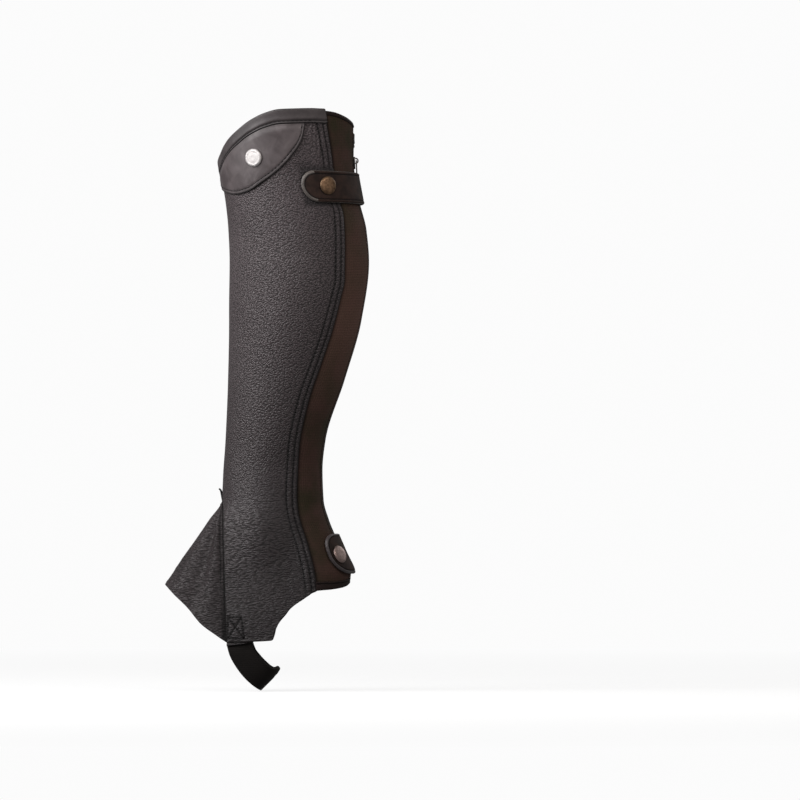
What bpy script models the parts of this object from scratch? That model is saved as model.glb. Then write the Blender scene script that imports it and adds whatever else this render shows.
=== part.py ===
"""Half chap for the left leg.

A leather tube wraps the calf and ankle. A leather gusset spreads it over the instep, an
elastic panel and a zip run down the back of the leg, a snapped tab closes over each end of
the zip, and an elastic strap passes under the boot.

Frame: +Z runs up the leg, -X is the toe side, +X the heel side and -Y the outer side of the
leg. The origin is on the axis of the leg at the widest part of the calf. Sizes are in metres.

Places on the leg are given as an angle and a height. The angle is 0 on the shin, 90 on the
outer side, 180 at the back and negative on the inner side. A distance called "out" is
measured along the surface normal from the outer face of the leather.
"""

import math
from collections import namedtuple

import bmesh
import bpy
import numpy as np
from mathutils import Matrix, Vector

PART_NAME = "half_chap"

# The gap that sewn pieces keep between them, and half of it for each piece's edge
SEAM_GAP = 0.0003
EDGE_TRIM = SEAM_GAP / 2

# Sections of the leg, from the top down. Behind its widest point each section is half an
# ellipse; before it, front_power below 2 makes the section more pointed over the instep.
LegRow = namedtuple("LegRow", "height front back half_width widest front_power")
LEG = [
    LegRow(0.1260, -0.0683, 0.0458, 0.0560, -0.0120, 2.00),
    LegRow(0.0826, -0.0655, 0.0446, 0.0550, -0.0110, 2.00),
    LegRow(0.0500, -0.0597, 0.0492, 0.0545, -0.0060, 2.00),
    LegRow(0.0260, -0.0573, 0.0550, 0.0545, -0.0020, 2.00),
    LegRow(0.0000, -0.0565, 0.0571, 0.0545, 0.0000, 2.00),
    LegRow(-0.0470, -0.0565, 0.0510, 0.0520, -0.0030, 2.00),
    LegRow(-0.0956, -0.0574, 0.0373, 0.0460, -0.0100, 2.00),
    LegRow(-0.1440, -0.0595, 0.0219, 0.0390, -0.0180, 2.00),
    LegRow(-0.1685, -0.0612, 0.0194, 0.0360, -0.0210, 2.00),
    LegRow(-0.1928, -0.0624, 0.0203, 0.0355, -0.0210, 2.00),
    LegRow(-0.2090, -0.0729, 0.0247, 0.0356, -0.0200, 1.95),
    LegRow(-0.2220, -0.0818, 0.0300, 0.0360, -0.0180, 1.90),
    LegRow(-0.2380, -0.0930, 0.0369, 0.0370, -0.0150, 1.85),
    LegRow(-0.2520, -0.1025, 0.0427, 0.0376, -0.0130, 1.82),
    LegRow(-0.2608, -0.1085, 0.0418, 0.0380, -0.0120, 1.80),
    LegRow(-0.2850, -0.1250, 0.0412, 0.0400, -0.0100, 1.75),
    LegRow(-0.3080, -0.1400, 0.0412, 0.0410, -0.0100, 1.70),
]

# The leather's top edge round the leg: high on the outer side, low on the inner side
RimRow = namedtuple("RimRow", "angle height")
RIM = [
    RimRow(-180, 0.1081),
    RimRow(-150, 0.0970),
    RimRow(-120, 0.0840),
    RimRow(-90, 0.0760),
    RimRow(-60, 0.0720),
    RimRow(-30, 0.0730),
    RimRow(0, 0.0815),
    RimRow(9, 0.0850),
    RimRow(18, 0.0893),
    RimRow(27, 0.0953),
    RimRow(37, 0.1020),
    RimRow(48, 0.1085),
    RimRow(59, 0.1150),
    RimRow(73, 0.1212),
    RimRow(86, 0.1244),
    RimRow(100, 0.1250),
    RimRow(122, 0.1242),
    RimRow(134, 0.1232),
    RimRow(148, 0.1202),
    RimRow(160, 0.1170),
    RimRow(171, 0.1138),
    RimRow(180, 0.1105),
]

# The two sides of the leg, as signs of the angle
OUTER = 1
INNER = -1

# Edges that are known from the side view
SidePoint = namedtuple("SidePoint", "x height")

# Where the leather ends and the elastic panel begins, from the top down
ELASTIC_SEAM = [
    SidePoint(0.0208, 0.1260),
    SidePoint(0.0243, 0.1037),
    SidePoint(0.0267, 0.0891),
    SidePoint(0.0284, 0.0753),
    SidePoint(0.0332, 0.0502),
    SidePoint(0.0365, 0.0356),
    SidePoint(0.0377, 0.0097),
    SidePoint(0.0373, -0.0154),
    SidePoint(0.0344, -0.0284),
    SidePoint(0.0279, -0.0543),
    SidePoint(0.0190, -0.0810),
    SidePoint(0.0081, -0.1134),
    SidePoint(0.0004, -0.1523),
    SidePoint(-0.0012, -0.1904),
    SidePoint(0.0000, -0.2033),
    SidePoint(0.0077, -0.2292),
    SidePoint(0.0134, -0.2535),
    SidePoint(0.0146, -0.2657),
]

# Where the gusset meets the leather on each side of the foot, from its apex down
GUSSET_SEAM = [
    SidePoint(-0.0624, -0.1863),
    SidePoint(-0.0603, -0.2576),
    SidePoint(-0.0583, -0.3070),
]

# The gusset's lower edge, from the tip over the toe back to the seam
GUSSET_EDGE = [
    SidePoint(-0.1085, -0.2608),
    SidePoint(-0.0923, -0.2770),
    SidePoint(-0.0778, -0.2932),
    SidePoint(-0.0689, -0.2997),
    SidePoint(-0.0583, -0.3070),
]

# The tube's lower edge: a drop at the side of the foot, an arch and the heel
LOWER_EDGE = [
    SidePoint(-0.0583, -0.3070),
    SidePoint(-0.0215, -0.3054),
    SidePoint(-0.0194, -0.2973),
    SidePoint(-0.0146, -0.2892),
    SidePoint(-0.0073, -0.2803),
    SidePoint(0.0032, -0.2726),
    SidePoint(0.0146, -0.2660),
    SidePoint(0.0275, -0.2649),
    SidePoint(0.0365, -0.2632),
    SidePoint(0.0427, -0.2585),
]
DROP_CORNER = 1

# The smooth yoke on the upper shin, along its lower edge
YokePoint = namedtuple("YokePoint", "angle height")
YOKE_EDGE = [
    YokePoint(-33, 0.0640),
    YokePoint(-15, 0.0645),
    YokePoint(0, 0.0600),
    YokePoint(10, 0.0580),
    YokePoint(37, 0.0548),
    YokePoint(51, 0.0567),
    YokePoint(68, 0.0644),
    YokePoint(85, 0.0750),
    YokePoint(96, 0.0860),
    YokePoint(104, 0.0980),
    YokePoint(108, 0.1160),
]

# Layers of the tube: out of the outer face, then thickness
Layer = namedtuple("Layer", "out thickness")
LEATHER = Layer(0.0, 0.0020)
ELASTIC = Layer(-0.0005, 0.0015)
ZIP_TAPE = Layer(-0.0006, 0.0012)
TOP_BINDING = Layer(0.0005, 0.0030)
ELASTIC_BINDING = Layer(0.0002, 0.0024)
HEEL_BINDING = Layer(0.0005, 0.0028)
YOKE_THICKNESS = 0.0012
TAB_THICKNESS = 0.0024
FOOT_STRAP_THICKNESS = 0.0016

# The rows that all the panels of the tube share, counted from the lower edge
ROWS = 36
GUSSET_APEX_ROW = 11
BAND_ROW = ROWS - 2
ELASTIC_TOP_ROW = ROWS - 1
TOP_BAND = 0.0118
ELASTIC_TOP_BAND = 0.0055
ELASTIC_TOP_DROP = 0.0024
SIDE_HEM = 0.0080
HEEL_HEM = 0.0040
HEEL_HEM_FROM = 100

# Columns round each panel
OUTER_COLUMNS_TO_CORNER = 7
OUTER_COLUMNS = 20
INNER_COLUMNS_TO_CORNER = 5
INNER_COLUMNS = 26
GUSSET_COLUMNS = 16
ELASTIC_COLUMNS = 7
TAPE_COLUMNS = 2
YOKE_COLUMNS = 28
YOKE_ROWS = 5

# The zip at the back: half the gap between its tapes, and where the panels beside them end
ZipRow = namedtuple("ZipRow", "height half_gap tape_edge")
ZIP = [
    ZipRow(-0.3100, 0.00015, 0.0070),
    ZipRow(0.0600, 0.00015, 0.0070),
    ZipRow(0.0730, 0.00020, 0.0070),
    ZipRow(0.0850, 0.00190, 0.0076),
    ZipRow(0.1080, 0.00500, 0.0095),
    ZipRow(0.1300, 0.00800, 0.0115),
]

# Tabs: where they start and end, how high they sit and how far they stand off the leather
Tab = namedtuple("Tab", "tip end tip_height end_height half_height tip_radius tip_out end_out")
TOP_TAB = Tab(100.8, 212.0, 0.0608, 0.0579, 0.0125, 0.0125, 0.0003, 0.0012)
HEEL_TAB = Tab(138.0, 210.0, -0.2360, -0.2370, 0.0155, 0.0155, 0.0004, 0.0011)
TAB_TIP_COLUMNS = 5
TAB_TIP_BLUNT = 0.02
TAB_COLUMN_ANGLE = 4.5
TAB_STRIPS = 3

# Snap caps: a domed profile from the middle out, as shares of the radius and the height.
# The badge cap has a plain sunk ring round its middle.
SnapPlace = namedtuple("SnapPlace", "angle height out")
CapPoint = namedtuple("CapPoint", "radius height")
SNAP_RADIUS = 0.0075
SNAP_HEIGHT = 0.0017
CAP_CROWN = [CapPoint(0.0, 0.94), CapPoint(0.30, 0.92), CapPoint(0.62, 0.86)]
BADGE_CROWN = [
    CapPoint(0.0, 0.94),
    CapPoint(0.40, 0.92),
    CapPoint(0.46, 0.78),
    CapPoint(0.66, 0.78),
    CapPoint(0.72, 0.90),
]
CAP_EDGE = [
    CapPoint(0.84, 0.66),
    CapPoint(0.96, 0.40),
    CapPoint(1.0, 0.18),
    CapPoint(0.98, 0.0),
    CapPoint(0.0, 0.0),
]
CAP_STEPS = 28
BADGE_SNAP = SnapPlace(63.4, 0.0836, SEAM_GAP + YOKE_THICKNESS + SEAM_GAP)
TOP_SNAP = SnapPlace(123.0, 0.0610, SEAM_GAP + TAB_THICKNESS + SEAM_GAP + 0.0002)
HEEL_SNAP = SnapPlace(151.8, -0.2376, SEAM_GAP + TAB_THICKNESS + SEAM_GAP + 0.0004)

# Zip slider and its pull, in the slider's own side, up and out directions
SLIDER_HEIGHT = 0.0802
SLIDER_SIZE = Vector((0.0090, 0.0100, 0.0012))
SLIDER_PLATE_OUT = -0.0003
SLIDER_INNER_OUT = -0.0036
SLIDER_INNER_THICKNESS = 0.0010
SLIDER_POST_WIDTH = 0.0020
SLIDER_POST_LENGTH = 0.0022
SLIDER_POST_UP = 0.0036
SLIDER_OVERLAP = 0.0003
CROWN = Vector((0.0020, 0.0052, 0.0030))
CROWN_HOLE = Vector((0.0040, 0.0028, 0.0019))
PIN_UP = 0.0017
PIN_OUT = 0.00095
PIN_RADIUS = 0.0005
PULL_ARM_INNER = 0.0014
PULL_ARM_OUTER = 0.0025
PULL_THICKNESS = 0.0011
PULL_PLATE_FROM = 0.0042
PULL_PLATE_TO = 0.0099

# The strap under the boot, from the hem down to the middle of the sole
StrapRow = namedtuple("StrapRow", "x y height lean")
STRAP_WIDTH = 0.0195
STRAP_OUT = LEATHER.out - LEATHER.thickness - SEAM_GAP - FOOT_STRAP_THICKNESS / 2
STRAP_SEWN_HEIGHTS = (-0.2890, -0.2980, -0.3062)
STRAP_SEWN_X = -0.0484
STRAP_DROP = [
    StrapRow(-0.0460, -0.0350, -0.3150, 8),
    StrapRow(-0.0415, -0.0346, -0.3227, 22),
    StrapRow(-0.0345, -0.0335, -0.3310, 38),
    StrapRow(-0.0278, -0.0300, -0.3366, 44),
    StrapRow(-0.0246, -0.0230, -0.3387, 45),
    StrapRow(-0.0240, -0.0120, -0.3392, 45),
    StrapRow(-0.0240, 0.0000, -0.3393, 45),
]

# Surface finishes: name, colour as linear RGB, roughness, metallic
Finish = namedtuple("Finish", "name colour roughness metallic")
PEBBLED_LEATHER = Finish("pebbled_leather", (0.060, 0.052, 0.052), 0.50, 0.0)
SMOOTH_LEATHER = Finish("smooth_leather", (0.085, 0.072, 0.075), 0.45, 0.0)
TAB_LEATHER = Finish("tab_leather", (0.028, 0.018, 0.014), 0.60, 0.0)
RIBBED_ELASTIC = Finish("ribbed_elastic", (0.030, 0.015, 0.013), 0.80, 0.0)
BINDING_TAPE = Finish("binding_tape", (0.020, 0.013, 0.012), 0.75, 0.0)
WEBBING = Finish("webbing", (0.011, 0.008, 0.007), 0.85, 0.0)
ZIP_FABRIC = Finish("zip_fabric", (0.015, 0.011, 0.010), 0.85, 0.0)
BRIGHT_METAL = Finish("bright_metal", (0.62, 0.60, 0.58), 0.30, 1.0)
BRONZE_METAL = Finish("bronze_metal", (0.26, 0.19, 0.13), 0.38, 1.0)


def smooth(x, xs, ys):
    """Read a table at x along a curve that never overshoots the table's own values."""
    if xs[0] > xs[-1]:
        xs = xs[::-1]
        ys = ys[::-1]
    if x <= xs[0]:
        return ys[0]
    if x >= xs[-1]:
        return ys[-1]
    steps = [b - a for a, b in zip(xs, xs[1:])]
    slopes = [(b - a) / step for a, b, step in zip(ys, ys[1:], steps)]
    tangents = [slopes[0]]
    for before, after in zip(slopes, slopes[1:]):
        same_way = before * after > 0
        tangents.append(2 * before * after / (before + after) if same_way else 0.0)
    tangents.append(slopes[-1])
    i = int(np.searchsorted(xs, x)) - 1
    t = (x - xs[i]) / steps[i]
    rise = ys[i] * (1 + 2 * t) * (1 - t) ** 2 + ys[i + 1] * t * t * (3 - 2 * t)
    bend = tangents[i] * t * (1 - t) ** 2 - tangents[i + 1] * t * t * (1 - t)
    return rise + bend * steps[i]


def column(table, name):
    """One named column of a table."""
    return [getattr(row, name) for row in table]


def leg_section(height):
    """The leg's section at a height."""
    heights = column(LEG, "height")
    values = [smooth(height, heights, column(LEG, name)) for name in LegRow._fields[1:]]
    return LegRow(height, *values)


def skin_point(angle, height):
    """A point on the outer face of the leather."""
    row = leg_section(height)
    a = math.radians(angle)
    forward = math.cos(a)
    sideways = math.sin(a)
    if forward > 0:
        power = 2 / row.front_power
        x = row.widest + (row.front - row.widest) * forward**power
        y = -row.half_width * math.copysign(abs(sideways) ** power, sideways)
    else:
        x = row.widest - (row.back - row.widest) * forward
        y = -row.half_width * sideways
    return Vector((x, y, height))


def skin_normal(angle, height):
    """The direction out of the leather at a point of the leg."""
    turn = 1.5
    rise = 0.0015
    round_leg = skin_point(angle + turn, height) - skin_point(angle - turn, height)
    up_leg = skin_point(angle, height + rise) - skin_point(angle, height - rise)
    return round_leg.cross(up_leg).normalized()


def leg_point(angle, height, out=0.0):
    """A point at a distance out of the leather's outer face."""
    return skin_point(angle, height) + skin_normal(angle, height) * out


def angle_at(x, height):
    """The angle, on the outer side, of the point that the side view shows at x."""
    row = leg_section(height)
    if x < row.widest:
        share = min(1.0, (x - row.widest) / (row.front - row.widest))
        return math.degrees(math.acos(share ** (row.front_power / 2)))
    share = min(1.0, (x - row.widest) / (row.back - row.widest))
    return 180 - math.degrees(math.acos(share))


def back_angle(distance, height):
    """The angle of a point at a distance round the leg from the middle of the back."""
    return 180 - math.degrees(distance / leg_section(height).half_width)


def side_edge(table):
    """A side-view edge as two lists, its angles and its heights."""
    angles = [angle_at(point.x, point.height) for point in table]
    return angles, column(table, "height")


LOWER_ANGLES, LOWER_HEIGHTS = side_edge(LOWER_EDGE)


def gusset_edge_height(angle):
    """The height of the gusset's lower edge, which the side view gives as a line."""
    height = GUSSET_EDGE[0].height
    for _ in range(40):
        x = skin_point(angle, height).x
        edge = smooth(x, column(GUSSET_EDGE, "x"), column(GUSSET_EDGE, "height"))
        height = 0.5 * (height + edge)
    return height


def rim_height(angle):
    """The height of the leather's top edge."""
    wrapped = (angle + 180) % 360 - 180 if angle != 180 else 180
    return smooth(wrapped, column(RIM, "angle"), column(RIM, "height"))


def row_height(angle, row):
    """The height of one of the tube's shared rows at an angle."""
    bottom = smooth(abs(angle), LOWER_ANGLES, LOWER_HEIGHTS)
    rim = rim_height(angle)
    if row == 0:
        return bottom
    if row == ELASTIC_TOP_ROW:
        return rim - ELASTIC_TOP_BAND
    if row == ROWS:
        return rim
    to_heel = np.clip((abs(angle) - HEEL_HEM_FROM) / (180 - HEEL_HEM_FROM), 0, 1)
    low = bottom + SIDE_HEM + (HEEL_HEM - SIDE_HEM) * to_heel
    high = rim - TOP_BAND
    return low + (high - low) * (row - 1) / (BAND_ROW - 1)


def on_row(edge_angle, row, side=OUTER):
    """The place where a seam, whose angle follows the height, crosses a row on one side."""
    height = 0.0
    for _ in range(30):
        height = 0.5 * (height + row_height(side * edge_angle(height), row))
    return side * edge_angle(height), height


def elastic_seam_angle(height):
    """The angle of the seam between the leather and the elastic panel."""
    x = smooth(height, column(ELASTIC_SEAM, "height"), column(ELASTIC_SEAM, "x"))
    return angle_at(x, height)


def gusset_seam_angle(height):
    """The angle of the outer gusset seam, which is the shin's middle above the apex."""
    if height >= GUSSET_SEAM[0].height:
        return 0.0
    x = smooth(height, column(GUSSET_SEAM, "height"), column(GUSSET_SEAM, "x"))
    return angle_at(x, height)


def tape_edge_angle(height):
    """The angle where the panel on the outer side of the zip ends."""
    distance = smooth(height, column(ZIP, "height"), column(ZIP, "tape_edge"))
    return back_angle(distance, height)


def zip_gap_angle(height):
    """The angle of the outer tape's free edge."""
    distance = smooth(height, column(ZIP, "height"), column(ZIP, "half_gap"))
    return back_angle(distance, height)


def even_shares(count):
    """Places from 0 to 1 in equal steps."""
    return [i / count for i in range(count + 1)]


def shares_with_corner(corner, to_corner, count):
    """Places from 0 to 1 with one exactly at a corner."""
    before = [corner * i / to_corner for i in range(to_corner)]
    after_count = count - to_corner
    after = [corner + (1 - corner) * i / after_count for i in range(after_count + 1)]
    return before + after


def tube_grid(start_angle, end_angle, rows, shares, side=OUTER):
    """Rows of places between two seams on one side, all at the shared row heights."""
    grid = []
    for row in rows:
        start = on_row(start_angle, row, side)[0]
        end = on_row(end_angle, row, side)[0]
        angles = sorted(start + (end - start) * share for share in shares)
        grid.append([(angle, row_height(angle, row)) for angle in angles])
    return grid


def moved_toward(place, target, distance):
    """A place moved along the surface toward another by a distance."""
    length = (skin_point(*target) - skin_point(*place)).length
    if length == 0:
        return place
    share = distance / length
    return tuple(a + (b - a) * share for a, b in zip(place, target))


def trimmed(grid, left=0.0, right=0.0, bottom=0.0, top=0.0):
    """A grid whose four edges are pulled in by the distances given."""
    grid = [list(row) for row in grid]
    for row in grid:
        row[0] = moved_toward(row[0], row[1], left)
        row[-1] = moved_toward(row[-1], row[-2], right)
    for i in range(len(grid[0])):
        grid[0][i] = moved_toward(grid[0][i], grid[1][i], bottom)
        grid[-1][i] = moved_toward(grid[-1][i], grid[-2][i], top)
    return grid


def sheet_faces(grids):
    """The different places of some grids, and their faces, which face out of the leg."""
    index = {}
    faces = []
    for grid in grids:
        numbers = []
        for row in grid:
            keys = [(round(angle, 6), round(height, 8)) for angle, height in row]
            numbers.append([index.setdefault(key, len(index)) for key in keys])
        for lower, upper in zip(numbers, numbers[1:]):
            for i in range(len(lower) - 1):
                corners = [lower[i], lower[i + 1], upper[i + 1], upper[i]]
                face = list(dict.fromkeys(corners))
                if len(face) > 2:
                    faces.append(face)
    return list(index), faces


def new_object(name, mesh, finish, collection):
    """An object with a mesh and a finish, in the part's collection."""
    material = bpy.data.materials.get(finish.name) or bpy.data.materials.new(finish.name)
    material.use_nodes = True
    shader = material.node_tree.nodes["Principled BSDF"]
    shader.inputs["Base Color"].default_value = (*finish.colour, 1.0)
    shader.inputs["Roughness"].default_value = finish.roughness
    shader.inputs["Metallic"].default_value = finish.metallic
    mesh.materials.append(material)
    mesh.shade_smooth()
    mesh.set_sharp_from_angle(angle=math.radians(40))
    piece = bpy.data.objects.new(name, mesh)
    collection.objects.link(piece)
    return piece


def wall(name, grids, layer, finish, collection):
    """A panel of the tube: both its faces follow the leg, so its seams stay parallel."""
    places, faces = sheet_faces(grids)
    outer = [leg_point(angle, height, layer.out) for angle, height in places]
    inner_out = layer.out - layer.thickness
    inner = [leg_point(angle, height, inner_out) for angle, height in places]
    count = len(places)
    used = {}
    for face in faces:
        for a, b in zip(face, face[1:] + face[:1]):
            used[(a, b)] = True
    all_faces = faces + [[i + count for i in reversed(face)] for face in faces]
    for a, b in used:
        if (b, a) in used:
            continue
        # The edge's wall is split from its lower outer corner, as its neighbour's is
        if places[a][1] < places[b][1]:
            all_faces += [[b, a, b + count], [a, a + count, b + count]]
        else:
            all_faces += [[b, a, a + count], [b, a + count, b + count]]
    mesh = bpy.data.meshes.new(name)
    mesh.from_pydata(outer + inner, [], all_faces)
    return new_object(name, mesh, finish, collection)


def laid_on(name, rows, thickness, finish, collection):
    """A piece of one thickness that lies on a panel, from rows of (angle, height, out)."""
    outs = {}
    grid = []
    for row in rows:
        grid.append([(angle, height) for angle, height, _ in row])
        for angle, height, out in row:
            outs[(round(angle, 6), round(height, 8))] = out
    places, faces = sheet_faces([grid])
    points = [leg_point(*place, outs[place]) for place in places]
    mesh = bpy.data.meshes.new(name)
    mesh.from_pydata(points, [], faces)
    piece = new_object(name, mesh, finish, collection)
    solidify = piece.modifiers.new("thickness", "SOLIDIFY")
    solidify.thickness = thickness
    solidify.offset = 1.0
    solidify.use_even_offset = True
    return piece


def main_panel_grids():
    """The leather's outer and inner halves, joined down the shin above the gusset."""
    rows = range(BAND_ROW + 1)
    corner = LOWER_ANGLES[DROP_CORNER]
    seam, _ = on_row(gusset_seam_angle, 0)
    elastic, _ = on_row(elastic_seam_angle, 0)
    tape, _ = on_row(tape_edge_angle, 0)
    outer_corner = (corner - seam) / (elastic - seam)
    inner_corner = (corner - seam) / (tape - seam)
    outer_shares = shares_with_corner(outer_corner, OUTER_COLUMNS_TO_CORNER, OUTER_COLUMNS)
    inner_shares = shares_with_corner(inner_corner, INNER_COLUMNS_TO_CORNER, INNER_COLUMNS)
    outer = tube_grid(gusset_seam_angle, elastic_seam_angle, rows, outer_shares)
    outer = trimmed(outer, right=EDGE_TRIM, top=EDGE_TRIM)
    inner = tube_grid(gusset_seam_angle, tape_edge_angle, rows, inner_shares, INNER)
    inner = trimmed(inner, left=EDGE_TRIM, top=EDGE_TRIM)
    for row in rows[:GUSSET_APEX_ROW]:
        outer[row][0] = moved_toward(outer[row][0], outer[row][1], EDGE_TRIM)
        inner[row][-1] = moved_toward(inner[row][-1], inner[row][-2], EDGE_TRIM)
    return [outer, inner]


def gusset_grid():
    """The gusset, from its lower edge up to its apex at the top of the instep."""
    toe = GUSSET_EDGE[0].height
    apex = row_height(0, GUSSET_APEX_ROW)
    seam_angle, seam_bottom = on_row(gusset_seam_angle, 0)
    shares = [2 * share - 1 for share in even_shares(GUSSET_COLUMNS)]
    grid = []
    for row in range(GUSSET_APEX_ROW):
        ridge = toe + (apex - toe) * row / GUSSET_APEX_ROW
        places = []
        for share in shares:
            edge = gusset_edge_height(abs(share) * seam_angle)
            drop = (edge - toe) / (seam_bottom - toe)
            angle, height = on_row(gusset_seam_angle, row, OUTER if share > 0 else INNER)
            places.append((angle * abs(share), ridge + (height - ridge) * drop))
        grid.append(places)
    grid = trimmed(grid, left=EDGE_TRIM, right=EDGE_TRIM)
    tip = moved_toward((0.0, apex), (0.0, toe), SEAM_GAP * 2)
    grid.append([tip] * len(shares))
    return grid


def yoke_rows():
    """The yoke, between its curved lower edge and the top binding."""
    angles = column(YOKE_EDGE, "angle")
    heights = column(YOKE_EDGE, "height")
    fine = np.linspace(angles[0], angles[-1], 400)
    line = [skin_point(angle, smooth(angle, angles, heights)) for angle in fine]
    lengths = np.concatenate([[0.0], np.cumsum([(b - a).length for a, b in zip(line, line[1:])])])
    places = np.linspace(0.0, lengths[-1], YOKE_COLUMNS + 1)
    columns = [float(np.interp(place, lengths, fine)) for place in places]
    rows = []
    for share in even_shares(YOKE_ROWS):
        row = []
        for angle in columns:
            top = rim_height(angle) - TOP_BAND - SEAM_GAP * 2
            low = min(smooth(angle, angles, heights), top - SEAM_GAP * 3)
            row.append((angle, low + (top - low) * share, SEAM_GAP))
        rows.append(row)
    return rows


def tab_rows(tab):
    """A tab's places, from its rounded tip to its sewn end, in strips across its height."""
    radius = leg_section(tab.tip_height).half_width
    tip_turn = math.degrees(tab.tip_radius / radius)
    columns = []
    for i in range(TAB_TIP_COLUMNS):
        turn = math.pi / 2 * i / TAB_TIP_COLUMNS
        angle = tab.tip + tip_turn * (1 - math.cos(turn))
        columns.append((angle, max(math.sin(turn), TAB_TIP_BLUNT)))
    start = tab.tip + tip_turn
    count = round((tab.end - start) / TAB_COLUMN_ANGLE)
    columns += [(start + (tab.end - start) * i / count, 1.0) for i in range(count + 1)]
    rows = []
    for share in even_shares(TAB_STRIPS):
        row = []
        for angle, reach in columns:
            along = (angle - tab.tip) / (tab.end - tab.tip)
            height = tab.tip_height + (tab.end_height - tab.tip_height) * along
            height += (2 * share - 1) * tab.half_height * reach
            row.append((angle, height, tab.tip_out + (tab.end_out - tab.tip_out) * along))
        rows.append(row)
    return rows


def foot_strap(collection):
    """The elastic strap, sewn inside both sides of the hem and passing under the boot."""
    stations = []
    for height in STRAP_SEWN_HEIGHTS:
        rails = []
        for side in (-1, 0, 1):
            x = STRAP_SEWN_X + side * STRAP_WIDTH / 2
            rails.append(leg_point(angle_at(x, height), height, STRAP_OUT))
        stations.append(rails)
    for row in STRAP_DROP:
        lean = math.radians(row.lean)
        across = Vector((math.cos(lean), 0.0, math.sin(lean))) * STRAP_WIDTH / 2
        centre = Vector((row.x, row.y, row.height))
        stations.append([centre - across, centre, centre + across])
    for rails in reversed(stations[:-1]):
        stations.append([Vector((point.x, -point.y, point.z)) for point in rails])
    width = len(stations[0])
    points = [point for rails in stations for point in rails]
    faces = []
    for i in range(len(stations) - 1):
        for j in range(width - 1):
            a = i * width + j
            faces.append((a, a + width, a + width + 1, a + 1))
    mesh = bpy.data.meshes.new("foot_strap")
    mesh.from_pydata(points, [], faces)
    strap = new_object("foot_strap", mesh, WEBBING, collection)
    solidify = strap.modifiers.new("thickness", "SOLIDIFY")
    solidify.thickness = FOOT_STRAP_THICKNESS
    solidify.offset = 0.0
    return strap


def frame_at(angle, height, out):
    """A matrix with its X along the leg's side, Y up the surface and Z out of it."""
    normal = skin_normal(angle, height)
    rise = 0.004
    up = (skin_point(angle, height + rise) - skin_point(angle, height - rise)).normalized()
    side = up.cross(normal).normalized()
    turn = Matrix((side, up, normal)).transposed().to_4x4()
    return Matrix.Translation(leg_point(angle, height, out)) @ turn


def snap_cap(name, place, crown, finish, collection):
    """A turned snap cap."""
    mesh = bpy.data.meshes.new(name)
    profile = crown + CAP_EDGE
    points = [(point.radius * SNAP_RADIUS, 0.0, point.height * SNAP_HEIGHT) for point in profile]
    edges = [(i, i + 1) for i in range(len(points) - 1)]
    mesh.from_pydata(points, edges, [])
    cap = new_object(name, mesh, finish, collection)
    cap.matrix_world = frame_at(place.angle, place.height, place.out)
    turned = cap.modifiers.new("turned", "SCREW")
    turned.steps = CAP_STEPS
    turned.render_steps = CAP_STEPS
    turned.use_merge_vertices = True
    turned.merge_threshold = 0.00001
    return cap


def block(name, size, centre, finish, collection):
    """A box given by its size and centre, made from a primitive."""
    mesh = bpy.data.meshes.new(name)
    cube = bmesh.new()
    bmesh.ops.create_cube(cube, size=1.0)
    bmesh.ops.scale(cube, vec=size, verts=cube.verts)
    bmesh.ops.translate(cube, vec=centre, verts=cube.verts)
    cube.to_mesh(mesh)
    cube.free()
    return new_object(name, mesh, finish, collection)


def add_boolean(piece, other, operation):
    """Join another shape to a piece, or cut it away, and hide that shape."""
    boolean = piece.modifiers.new(other.name, "BOOLEAN")
    boolean.operation = operation
    boolean.object = other
    boolean.solver = "EXACT"
    other.hide_render = True
    other.display_type = "WIRE"


def zip_slider(place, collection, cutters):
    """The slider: a plate on each face of the tapes, a post between them and the crown."""
    plate_top = SLIDER_PLATE_OUT + SLIDER_SIZE.z
    slider = block(
        "zip_slider",
        SLIDER_SIZE,
        Vector((0.0, 0.0, SLIDER_PLATE_OUT + SLIDER_SIZE.z / 2)),
        BRIGHT_METAL,
        collection,
    )
    inner_size = Vector((SLIDER_SIZE.x, SLIDER_SIZE.y, SLIDER_INNER_THICKNESS))
    inner_plate = block(
        "slider_inner_plate",
        inner_size,
        Vector((0.0, 0.0, SLIDER_INNER_OUT + inner_size.z / 2)),
        BRIGHT_METAL,
        cutters,
    )
    post_top = SLIDER_PLATE_OUT + SLIDER_OVERLAP
    post_low = SLIDER_INNER_OUT + SLIDER_INNER_THICKNESS - SLIDER_OVERLAP
    post = block(
        "slider_post",
        Vector((SLIDER_POST_WIDTH, SLIDER_POST_LENGTH, post_top - post_low)),
        Vector((0.0, SLIDER_POST_UP, (post_top + post_low) / 2)),
        BRIGHT_METAL,
        cutters,
    )
    crown_height = CROWN.z + SLIDER_OVERLAP
    crown = block(
        "slider_crown",
        Vector((CROWN.x, CROWN.y, crown_height)),
        Vector((0.0, PIN_UP, plate_top - SLIDER_OVERLAP + crown_height / 2)),
        BRIGHT_METAL,
        cutters,
    )
    crown_hole = block(
        "slider_crown_hole",
        CROWN_HOLE,
        Vector((0.0, PIN_UP, plate_top + CROWN_HOLE.z / 2)),
        BRIGHT_METAL,
        cutters,
    )
    slider.matrix_world = place
    for shape in (inner_plate, post, crown, crown_hole):
        shape.matrix_world = place
    add_boolean(slider, inner_plate, "UNION")
    add_boolean(slider, post, "UNION")
    add_boolean(slider, crown, "UNION")
    add_boolean(slider, crown_hole, "DIFFERENCE")
    return slider


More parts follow.
